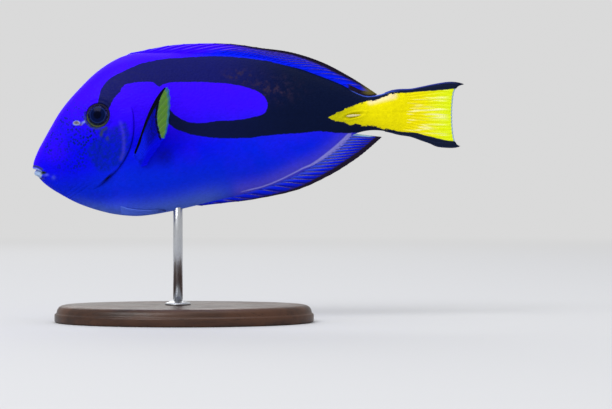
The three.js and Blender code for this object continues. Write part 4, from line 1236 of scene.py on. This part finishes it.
def pectoral_fin(side):
    """Where a pectoral fin is: u from its leading edge, v out to its margin."""
    tip_x, tip_z = table_curves(PECTORAL_TIPS)
    (front_x, front_z), (rear_x, rear_z) = PECTORAL_ROOT

    def centre(u, v):
        root_x, root_z = lerp(front_x, rear_x, u), lerp(front_z, rear_z, u)
        reach = np.hypot(tip_x(u) - root_x, tip_z(u) - root_z)
        along = (v * (reach + PECTORAL_SUNK) - PECTORAL_SUNK) / reach
        out = reach * along * (PECTORAL_OUT - PECTORAL_CURL * along)
        y = trunk_thickness_at(root_x, root_z) + out
        bow = PECTORAL_BOW * (1 - u) ** 0.7 * along**2 * (1 - along)
        x = lerp(root_x, tip_x(u), along) + PECTORAL_BOW_WAY[0] * bow
        z = lerp(root_z, tip_z(u), along) + PECTORAL_BOW_WAY[1] * bow
        return np.stack([x, side * y, z], -1)

    return centre


def pelvic_fin(side):
    """Where a pelvic fin is, folded back along the belly: u up from the keel, v to the tip."""

    def centre(u, v):
        x = lerp(PELVIC_START_X, PELVIC_TIP_X - 2.4 * u * u, v)
        z = belly(x) + lerp(1.1, lerp(4.6, 1.9, v), u)
        height = 0.25 + lerp(1.2, 0.6, v) / 2 - 1.6 * (1 - smooth(v * 3))
        return over_skin(x, z, side, height, trunk_thickness_at)[0]

    return centre


# A membrane's faces from root to margin and between two rays, and a ray's points and sides.
MEMBRANE_ROWS, GAP_COLUMNS = 26, 8
RAY_POINTS, RAY_SIDES = 22, 8
# How far out the rays reach, how thin they are there, and how much a fork thins and a spine thickens them.
RAY_END, RAY_END_WIDTH, FORK_THINNER, SPINE_THICKER = 0.985, 0.42, 0.25, 1.15


def membrane(centre, rays, half, notch, ripple):
    """A fin's membrane as a closed sheet, thin between the rays and drawn in at its margin."""
    columns, rows = rays * GAP_COLUMNS, MEMBRANE_ROWS
    u, v = np.meshgrid(np.linspace(0, 1, columns + 1), np.linspace(0, 1, rows + 1), indexing="ij")
    between = np.sin(math.pi * u * rays) ** 2
    grid = centre(u, v * (1 - notch * between**0.7))
    along, out = np.gradient(grid, axis=0), np.gradient(grid, axis=1)
    normal = np.cross(along, out)
    normal /= np.maximum(np.linalg.norm(normal, axis=-1, keepdims=True), 1e-9)
    wave = ripple * np.sin(2 * math.pi * u * rays) * smooth(v * 3)
    thick = half(u, v) * (1 - 0.45 * between)
    front = grid + normal * (wave + thick)[..., None]
    rear = grid + normal * (wave - thick)[..., None]
    count = (columns + 1) * (rows + 1)
    index = np.arange(count).reshape(columns + 1, rows + 1)
    faces = []
    for layer, way in ((index, 1), (index + count, -1)):
        quads = np.stack([layer[:-1, :-1], layer[1:, :-1], layer[1:, 1:], layer[:-1, 1:]], -1)
        faces += quads.reshape(-1, 4)[:, ::way].tolist()
    border = np.concatenate([index[:, 0], index[-1, 1:], index[-2::-1, -1], index[0, -2:0:-1]])
    after = np.roll(border, -1)
    faces += np.stack([after, border, border + count, after + count], -1).tolist()
    points = np.concatenate([front.reshape(-1, 3), rear.reshape(-1, 3)])
    flat_u, flat_v = np.tile(u.ravel(), 2), np.tile(v.ravel(), 2)
    return points, faced_out(points, faces), flat_u, flat_v


def ray_paths(rays, radius, spines=0, split=0.5, spread=0.25):
    """Each ray's line as u, v and width. Past the fin's spines the rays fork towards the margin."""
    v = np.linspace(0, RAY_END, RAY_POINTS)
    lines = []
    for ray in range(rays + 1):
        forked = 0 < ray < rays and ray >= spines
        taper = 1 - FORK_THINNER * smooth((v - split) * 5) if forked else SPINE_THICKER
        for branch in (-1, 1) if forked else (0,):
            u = ray / rays + branch * spread / rays * smooth((v - split) / (1 - split))
            lines.append((np.clip(u, 0, 1), v, radius * lerp(1.0, RAY_END_WIDTH, v) * taper))
    return lines


def ray_tree(material):
    """Geometry nodes that turn each ray's line into a tapered rod."""
    tree = bpy.data.node_groups.new("Fin Rays", "GeometryNodeTree")
    for name, kind in (("Lines", "Geometry"), ("Thickness", "Float"), ("Sides", "Int")):
        tree.interface.new_socket(name, in_out="INPUT", socket_type=f"NodeSocket{kind}")
    tree.interface.new_socket("Rods", in_out="OUTPUT", socket_type="NodeSocketGeometry")
    nodes = Nodes(tree)
    given = tree.nodes.new("NodeGroupInput").outputs
    curve = nodes.add("GeometryNodeMeshToCurve", {"Mesh": given["Lines"]})
    section = nodes.add("GeometryNodeCurvePrimitiveCircle", {"Resolution": given["Sides"], "Radius": 1.0})
    width = nodes.add("GeometryNodeInputNamedAttribute", {"Name": "width"}, data_type="FLOAT")
    scale = nodes.times(width, given["Thickness"])
    inputs = {"Curve": curve, "Profile Curve": section, "Scale": scale, "Fill Caps": True}
    rods = nodes.add("GeometryNodeCurveToMesh", inputs)
    rods = nodes.add("GeometryNodeSetShadeSmooth", {"Geometry": rods})
    rods = nodes.add("GeometryNodeRealizeInstances", {"Geometry": rods})
    rods = nodes.add("GeometryNodeSetMaterial", {"Geometry": rods, "Material": material})
    nodes.join(rods, tree.nodes.new("NodeGroupOutput").inputs["Rods"])
    return tree


def make_fin(name, node, slot, material, sizes, centre, rays, half, values, notch=0.012, **ray_shape):
    """A fin: its membrane, and its rays as rods that stand out of it on both sides."""
    points, faces, u, v = membrane(centre, rays, half, notch, sizes.ripple)
    carried = {**values(points, u, v), "ray": 0 * u, "out": v}
    settle(new_piece(name, swung(points), faces, material, carried), slot, node)

    lines = ray_paths(rays, sizes.ray_radius, **ray_shape)
    u, v, width = (np.concatenate([line[i] for line in lines]) for i in range(3))
    points = centre(u, v)
    carried = {**values(points, u, v), "ray": 0 * u + 1, "out": v, "width": width * MM}
    rods = new_piece(f"{name}_rays", swung(points), [], material, carried)
    steps = np.arange(len(lines) * RAY_POINTS).reshape(-1, RAY_POINTS)
    edges = np.stack([steps[:, :-1].ravel(), steps[:, 1:].ravel()], -1)
    rods.data.edges.add(len(edges))
    rods.data.edges.foreach_set("vertices", edges.ravel())
    rods.data.update()
    modifier = rods.modifiers.new("Rays", "NODES")
    modifier.node_group = ray_tree(material)
    sockets = {item.name: item.identifier for item in modifier.node_group.interface.items_tree}
    modifier[sockets["Thickness"]] = sizes.ray_thickness
    modifier[sockets["Sides"]] = RAY_SIDES
    settle(plain_mesh(rods, f"{name}_rays"), slot, node)


def edge_fin_values(table, edge, sign, rays, margin, clear):
    """Values of a fin on the back or belly: front, margin, painted shade beside its rays, and pale or gold
    end.
    """
    tip_x, tip_z = np.array(table, float).T[1:3]
    tips = through(tip_x, tip_z)
    anal = sign < 0

    def values(points, u, v):
        x, z = points[:, 0], points[:, 2]
        height = sign * (z - edge(x))
        dark = np.interp(x, *margin) - sign * (tips(x) - z)
        outer = smooth((v - 0.8) / 0.1) if anal else 1
        rear_edge = lerp(-2, 0.6, smooth((u - 0.95) / 0.03) * outer)
        rear_root = lerp(-2, 0.6, smooth((x - 42) / 6) * smooth((2.7 - height) / 0.8))
        front = smooth((6 - x) / 24) * (1 - smooth((2.4 - height) / 1.4) * smooth((x + 24) / 14))
        shown = smooth((height - clear) / 1.2)
        # A dark line just beside each ray: painted shade under the raised ray.
        groove = bell((u * rays + 0.28) % 1 - 0.5, 0.16) * shown * smooth((0.95 - v) / 0.2)
        return {
            "front": 0 * u if anal else front,
            "anal": 0 * u + anal,
            "margin": np.max([dark, rear_edge, dark if anal else rear_root], axis=0),
            "gold": 0 * u if anal else 0.85 * smooth((x - 51) / 5) * smooth((height - 0.4) / 0.6),
            "clear": 0.9 * shown,
            "groove": (0.75 if anal else 0.3) * groove,
            "stripe": stripe_value(*as_seen(points)),
            "pale": smooth((u - 0.975) / 0.015) * smooth((0.78 - v) / 0.2) if anal else 0 * u,
            "along": x,
            "belly": 0 * u,
        }

    return values


def make_back_and_belly_fins(look, sizes):
    """The dorsal, anal and pelvic fins."""
    material = blue_fin_material(look)

    def half(u, v):
        return lerp(sizes.membrane_tip, MEMBRANE_ROOT, (1 - v) ** 2)

    def pelvic_half(u, v):
        return lerp(PELVIC_THICK, PELVIC_THIN, v)

    make_fin("tang_dorsal_fin", "dorsal_fin", "blue_fin", material, sizes,
             edge_fin(DORSAL_RAYS, back, 1, DORSAL_SPINES / DORSAL_COUNT, 0.52), DORSAL_COUNT, half,
             edge_fin_values(DORSAL_RAYS, back, 1, DORSAL_COUNT, DORSAL_MARGIN, 0.9),
             spines=DORSAL_SPINES)
    make_fin("tang_anal_fin", "anal_fin", "blue_fin", material, sizes,
             edge_fin(ANAL_RAYS, belly, -1, ANAL_SPINES / ANAL_COUNT, 0.25), ANAL_COUNT, half,
             edge_fin_values(ANAL_RAYS, belly, -1, ANAL_COUNT, ANAL_MARGIN, 0.2),
             spines=ANAL_SPINES, split=0.75, spread=0.2)
    for name, side in SIDES.items():
        make_fin(f"tang_pelvic_fin_{name}", f"pelvic_fin_{name}", "blue_fin", material, sizes,
                 pelvic_fin(side), PELVIC_COUNT, pelvic_half, pelvic_values, spines=1)


def pelvic_values(points, u, v):
    """Values of a pelvic fin, which has the belly's colour."""
    names = ("front", "anal", "groove", "stripe", "pale", "gold")
    return {**{name: 0 * u for name in names}, "clear": 0 * u + 0.5, "margin": (v - 1) * 3,
            "along": points[:, 0], "belly": 0.92 - 0.12 * v}


def tail_values(points, u, v):
    """Values of the tail fin: its yellow wedge with a painted cream highlight, amber and pale streaks of
    painted highlight, and a painted highlight along its upper edge.
    """
    x, z = as_seen(points)
    return {
        "yellow": outline_depth(x, z, YELLOW_WEDGE),
        # A painted cream highlight inside the yellow wedge's upper edge.
        "cream": cream_highlight_value(x, z, (69, 105.4)),
        "amber": 0.8 * bell(from_spot(x, z, (66, 97)), 7),
        # Where the streaks of painted highlight along the rays lie.
        "streaks": 0.75 * smooth((x - 66) / 12) * smooth((94 - x) / 6),
        # The rim: a painted highlight along the upper edge.
        "rim": 0.8 * smooth((u - 0.972) / 0.02) * smooth((98 - points[:, 0]) / 10),
        "along": points[:, 0],
    }


def make_tail_fin(look, sizes):
    """The tail fin."""

    def half(u, v):
        flesh = CAUDAL_FLESH * np.maximum(1 - (2 * u - 1) ** 2, 0) ** 0.6
        return lerp(sizes.membrane_tip, np.maximum(flesh, CAUDAL_THINNEST), np.clip(1 - v, 0, 1) ** 3.2)

    material = tail_fin_material(look, ragged_group())
    make_fin("tang_tail_fin", "tail_fin", "yellow_fin", material, sizes, caudal_fin, CAUDAL_COUNT, half,
             tail_values, notch=0.006, split=0.3)


# The left edge of the pectoral fin's green leaf: at each z, its x.
LEAF_EDGE = ([84, 86.2, 88.9, 91.9, 95.5, 98.5, 102, 105.1, 108.6, 110.5],
             [-40.4, -41, -41.7, -42.5, -42.7, -42.3, -41.7, -40.8, -39, -37.6])


def pectoral_values(points, u, v):
    """Values of a pectoral fin: the green leaf, the dark leading edge and the dark inner rays."""
    seen_x, seen_z = as_seen(points)
    into_leaf = seen_x - np.interp(seen_z, *LEAF_EDGE)
    border = bell(into_leaf + 0.5, 0.8) * smooth((seen_z - 83) / 2)
    width = np.interp(v, [0, 0.2, 0.35, 0.55, 0.8, 1], [0.05, 0.15, 0.09, 0.1, 0.13, 0.05])
    lead = smooth((width - u) / 0.05 + 0.5) * smooth((v - 0.04) * 8)
    return {
        "leaf": smooth(into_leaf / 1.2 + 0.5) * smooth((seen_z - 84.6) / 1.2),
        "lead": np.maximum(lead, 0.8 * border),
        "dark_rays": smooth((v - 0.3) / 0.25) * smooth((0.6 - u) / 0.2),
        "along": points[:, 0],
    }


def make_pectoral_fins(look, sizes):
    """The two pectoral fins, held out from the body."""
    material = pectoral_material(look)

    def half(u, v):
        root = PECTORAL_THICK - PECTORAL_THINNER * smooth((u - 0.5) * 2)
        return lerp(sizes.membrane_tip, root, (1 - v) ** 2)

    for name, side in SIDES.items():
        make_fin(f"tang_pectoral_fin_{name}", f"pectoral_fin_{name}", "pectoral_fin", material, sizes,
                 pectoral_fin(side), PECTORAL_COUNT, half, pectoral_values, spines=1, split=0.35)


# The stand.

BASE_COLUMNS, ROD_COLUMNS, COLLAR_COLUMNS = 128, 48, 64


def level_ring(x, half_length, half_width, z, count):
    """A level oval round the fish's plane of symmetry."""
    angle = turns_round(count)
    return np.stack([x + half_length * np.cos(angle), half_width * np.sin(angle), z + 0 * angle], -1)


def stand_piece(name, rings, material, slot, node):
    """A closed piece of the stand in place of its node."""
    settle(new_piece(name, *lathed(rings), material), slot, node)


def make_stand(look):
    """The oval wooden base, the steel rod into the belly and the collar at its foot."""
    low, high = node_box("stand_base")
    x, half_length, half_width, top = (low[0] + high[0]) / 2, (high[0] - low[0]) / 2, high[1], high[2]
    # How far each ring lies inside the base's outline, and its height.
    profile = [(9, 0), (1, 0), (0.2, 0.3), (0, 0.9), (0, 3.4), (0.15, 3.9), (0.7, 4.2), (0.9, 4.5)]
    profile += [(1, 5), (1.3, 6), (2, 7), (3.1, 7.7), (4.4, top), (12, top)]
    rings = [level_ring(x, half_length - inset, half_width - inset, z, BASE_COLUMNS) for inset, z in profile]
    stand_piece("stand_base_wood", rings, wood_material(look), "base", "stand_base")

    # The rod's foot is sunk in the base. Its profile, and the collar's, are radii and heights.
    steel = steel_material()
    low, high = node_box("stand_rod")
    x, radius = (low[0] + high[0]) / 2, high[1]
    profile = [(radius, top - 2.0), (radius, high[2] - 0.6), (radius - 0.6, high[2])]
    rings = [level_ring(x, r, r, z, ROD_COLUMNS) for r, z in profile]
    stand_piece("stand_rod_steel", rings, steel, "rod", "stand_rod")

    low, high = node_box("stand_collar")
    outer, base_z, tip_z = high[1], low[2] - 0.3, high[2]
    profile = [(outer - 0.3, base_z), (outer, base_z + 0.3), (outer, base_z + 0.7)]
    profile += [(outer - 0.5, base_z + 1.1), (outer - 1.6, base_z + 1.4), (outer - 2.6, tip_z - 0.2)]
    profile += [(radius + 0.5, tip_z), (radius, tip_z - 0.3)]
    rings = [level_ring(x, r, r, z, COLLAR_COLUMNS) for r, z in profile]
    stand_piece("stand_collar_steel", rings, steel, "rod", "stand_collar")


# The studio.

# The floor's rings, the last at its edge, and where its fade into the air starts and ends.
FLOOR_RADII, FLOOR_COLUMNS = (1.0, 200.0, 800.0, 2400.0, 9000.0), 128
FADE_START, FADE_END = 300.0, 2200.0
# Each light's name, place and size in metres, and the setting with its power.
LIGHTS = (
    ("key_light", (-0.8, -1.15, 1.3), 0.8, "key"),
    ("top_light", (0.1, -0.15, 1.5), 1.0, "top"),
    ("back_light", (-0.4, 1.4, 1.1), 1.0, "rim"),
)
LIGHT_TARGET = Vector((0.0, 0.0, 0.09))
SENSOR_WIDTH, CLIP_START, CLIP_END = 36.0, 0.01, 20.0
BLACK = (0, 0, 0)


def make_stage(stage):
    """A pale floor that fades into pale air, soft lights and the camera."""
    rings = np.array([level_ring(0.0, r, r, 0.0, FLOOR_COLUMNS) for r in FLOOR_RADII])
    faces = tube_faces(*rings.shape[:2]).tolist() + [list(range(FLOOR_COLUMNS))[::-1]]
    air = (stage.air, stage.air, stage.air)

    floor = new_material("studio_floor", stage.floor, 0.9, Specular_IOR_Level=0.0, Emission_Strength=1.0)
    nodes = Nodes(floor.node_tree)
    shader = floor.node_tree.nodes["Principled BSDF"]
    reach = nodes.add("ShaderNodeVectorMath", {0: nodes.place()}, output="Value", operation="LENGTH")
    fade = nodes.ramp(reach, FADE_START * MM, FADE_END * MM)
    nodes.join(nodes.mix(fade, stage.floor, BLACK), shader.inputs["Base Color"])
    nodes.join(nodes.mix(fade, BLACK, air), shader.inputs["Emission Color"])
    new_piece("studio_floor", rings.reshape(-1, 3), faces, floor)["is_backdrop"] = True

    world = bpy.data.worlds.new("studio_air")
    bpy.context.scene.world = world
    world.use_nodes = True
    background = world.node_tree.nodes["Background"].inputs
    background["Color"].default_value = (1, 1, 1, 1)
    background["Strength"].default_value = stage.air

    for name, place, size, power in LIGHTS:
        light = bpy.data.lights.new(name, "AREA")
        light.size = size
        light.energy = getattr(stage, power)
        lamp = bpy.data.objects.new(name, light)
        lamp.location = place
        lamp.rotation_euler = (LIGHT_TARGET - Vector(place)).to_track_quat("-Z", "Y").to_euler()
        bpy.context.scene.collection.objects.link(lamp)

    camera = bpy.data.objects.new("camera", bpy.data.cameras.new("camera"))
    camera.data.lens = stage.lens
    camera.data.sensor_width = SENSOR_WIDTH
    camera.data.clip_start = CLIP_START
    camera.data.clip_end = CLIP_END
    camera.location = (CAMERA_X * MM, -CAMERA_DISTANCE * MM, CAMERA_Z * MM)
    camera.rotation_euler = (math.pi / 2, 0, 0)
    bpy.context.scene.collection.objects.link(camera)
    bpy.context.scene.camera = camera
    bpy.context.scene.view_settings.view_transform = "Standard"


# What a user may change.


def colour_property(name, red, green, blue):
    """A colour setting whose default is a screen colour."""
    return bpy.props.FloatVectorProperty(
        name=name, description=f"{name} of the fish or its stand", subtype="COLOR", size=3, min=0.0, max=1.0,
        default=rgb(red, green, blue))


def number_property(name, description, default, **kind):
    """A number setting. The lengths are in millimetres, so they have no unit of Blender's."""
    return bpy.props.FloatProperty(name=name, description=description, default=default, **kind)


class TangLook(bpy.types.PropertyGroup):
    """Colours and the skin's fine relief."""

    fore_blue: colour_property("Blue of the head", 2, 2, 234)
    rear_blue: colour_property("Blue of the flank", 0, 30, 234)
    low_blue: colour_property("Blue of the lower side", 0, 36, 218)
    violet: colour_property("Violet of forehead and oval", 56, 0, 254)
    belly: colour_property("Lavender of the belly's edge", 80, 110, 208)
    stripe: colour_property("Pale stripe along the anal fin", 152, 150, 240)
    fore_black: colour_property("Black mark on the shoulder", 15, 19, 94)
    black: colour_property("Black mark to the rear", 5, 16, 48)
    yellow: colour_property("Tail yellow", 238, 226, 2)
    olive_yellow: colour_property("Yellow at the wedge's tip", 188, 184, 5)
    lime: colour_property("Yellow at the rear", 222, 248, 20)
    amber: colour_property("Yellow at the tail's root", 232, 192, 0)
    fin_blue: colour_property("Fin membrane blue", 2, 30, 244)
    fin_dark: colour_property("Outer membrane", 8, 18, 140)
    fin_ray: colour_property("Fin ray", 150, 142, 206)
    fin_margin: colour_property("Fin margin", 28, 20, 40)
    leaf: colour_property("Pectoral fin's outer leaf", 88, 138, 46)
    eye_gold: colour_property("Gold ring of the eye", 76, 86, 52)
    wood: colour_property("Dark wood", 44, 27, 19)
    wood_light: colour_property("Lighter wood grain", 74, 46, 31)
    scale_size: number_property("Scale size", "Width of one scale in millimetres", 0.95, min=0.3, max=3.0)
    scale_relief: number_property("Scale relief", "Height of a scale in millimetres", 0.07, min=0.0, max=0.3)
    ragged: number_property("Ragged edge", "How far a marking's edge wanders in millimetres", 0.6, min=0.0)


class TangFins(bpy.types.PropertyGroup):
    """Sizes of the fins' membranes and rays."""

    membrane_tip: number_property("Membrane", "Half of its thickness at the margin, in millimetres", 0.14)
    ripple: number_property("Ripple", "How far the membrane waves between rays, in millimetres", 0.05)
    ray_radius: number_property("Ray radius", "Radius of a ray at its root, in millimetres", 0.36)
    ray_thickness: number_property("Ray thickness", "Factor on every ray's radius", 1.0, subtype="FACTOR")


class TangStage(bpy.types.PropertyGroup):
    """The studio's floor, lights and lens."""

    floor: colour_property("Floor", 200, 201, 204)
    key: number_property("Key light", "Power of the main light", 17.0, unit="POWER")
    top: number_property("Top light", "Power of the light overhead", 5.0, unit="POWER")
    rim: number_property("Back light", "Power of the light behind the fish", 8.0, unit="POWER")
    air: number_property("Air light", "Strength of the even light from all round", 0.7)
    lens: number_property("Lens", "Focal length in millimetres", 100.0, min=20.0, max=300.0)


SETTINGS = {"tang_look": TangLook, "tang_fins": TangFins, "tang_stage": TangStage}


class TANG_OT_skin(bpy.types.Operator):
    """Build the skin over the head, trunk and tail stem"""

    bl_idname = "tang.skin"
    bl_label = "Skin"

    def execute(self, context):
        make_skin(context.scene.tang_look)
        return {"FINISHED"}


class TANG_OT_eyes(bpy.types.Operator):
    """Build both eyes"""

    bl_idname = "tang.eyes"
    bl_label = "Eyes"

    def execute(self, context):
        make_eyes(context.scene.tang_look)
        return {"FINISHED"}


class TANG_OT_spines(bpy.types.Operator):
    """Build the folded tail spines"""

    bl_idname = "tang.spines"
    bl_label = "Tail Spines"

    def execute(self, context):
        make_spines()
        return {"FINISHED"}


class TANG_OT_back_and_belly_fins(bpy.types.Operator):
    """Build the dorsal, anal and pelvic fins"""

    bl_idname = "tang.back_and_belly_fins"
    bl_label = "Back and Belly Fins"

    def execute(self, context):
        make_back_and_belly_fins(context.scene.tang_look, context.scene.tang_fins)
        return {"FINISHED"}


class TANG_OT_tail_fin(bpy.types.Operator):
    """Build the tail fin"""

    bl_idname = "tang.tail_fin"
    bl_label = "Tail Fin"

    def execute(self, context):
        make_tail_fin(context.scene.tang_look, context.scene.tang_fins)
        return {"FINISHED"}


class TANG_OT_pectoral_fins(bpy.types.Operator):
    """Build both pectoral fins"""

    bl_idname = "tang.pectoral_fins"
    bl_label = "Pectoral Fins"

    def execute(self, context):
        make_pectoral_fins(context.scene.tang_look, context.scene.tang_fins)
        return {"FINISHED"}


class TANG_OT_stand(bpy.types.Operator):
    """Build the display stand"""

    bl_idname = "tang.stand"
    bl_label = "Stand"

    def execute(self, context):
        make_stand(context.scene.tang_look)
        return {"FINISHED"}


class TANG_OT_stage(bpy.types.Operator):
    """Build the studio floor, the lights and the camera"""

    bl_idname = "tang.stage"
    bl_label = "Stage"

    def execute(self, context):
        make_stage(context.scene.tang_stage)
        return {"FINISHED"}


OPERATORS = (
    TANG_OT_skin, TANG_OT_eyes, TANG_OT_spines, TANG_OT_back_and_belly_fins, TANG_OT_tail_fin,
    TANG_OT_pectoral_fins, TANG_OT_stand, TANG_OT_stage,
)


class TANG_PT_panel(bpy.types.Panel):
    """Lists the fish's settings and the buttons that build its pieces"""

    bl_idname = "TANG_PT_panel"
    bl_label = "Regal Blue Tang"
    bl_space_type = "VIEW_3D"
    bl_region_type = "UI"
    bl_category = "Blue Tang"

    def draw(self, context):
        layout = self.layout
        for key, kind in SETTINGS.items():
            box = layout.box()
            for name in kind.__annotations__:
                box.prop(getattr(context.scene, key), name)
        for operator in OPERATORS:
            layout.operator(operator.bl_idname)


CLASSES = (*SETTINGS.values(), *OPERATORS, TANG_PT_panel)


def register():
    """Registers the classes and hangs the settings on the scene."""
    for kind in CLASSES:
        bpy.utils.register_class(kind)
    for key, kind in SETTINGS.items():
        setattr(bpy.types.Scene, key, bpy.props.PointerProperty(type=kind))


def unregister():
    """Undoes register."""
    for key in SETTINGS:
        delattr(bpy.types.Scene, key)
    for kind in reversed(CLASSES):
        bpy.utils.unregister_class(kind)


def plain(bounds):
    """A box's corners as plain lists."""
    return [[float(value) for value in corner] for corner in bounds]


def main():
    """Builds everything."""
    register()
    for operator in OPERATORS:
        group, name = operator.bl_idname.split(".")
        getattr(getattr(bpy.ops, group), name)()
    {"cad": plain(cad_bounds), "visual": plain(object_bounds())}


if __name__ == "__main__":
    main()
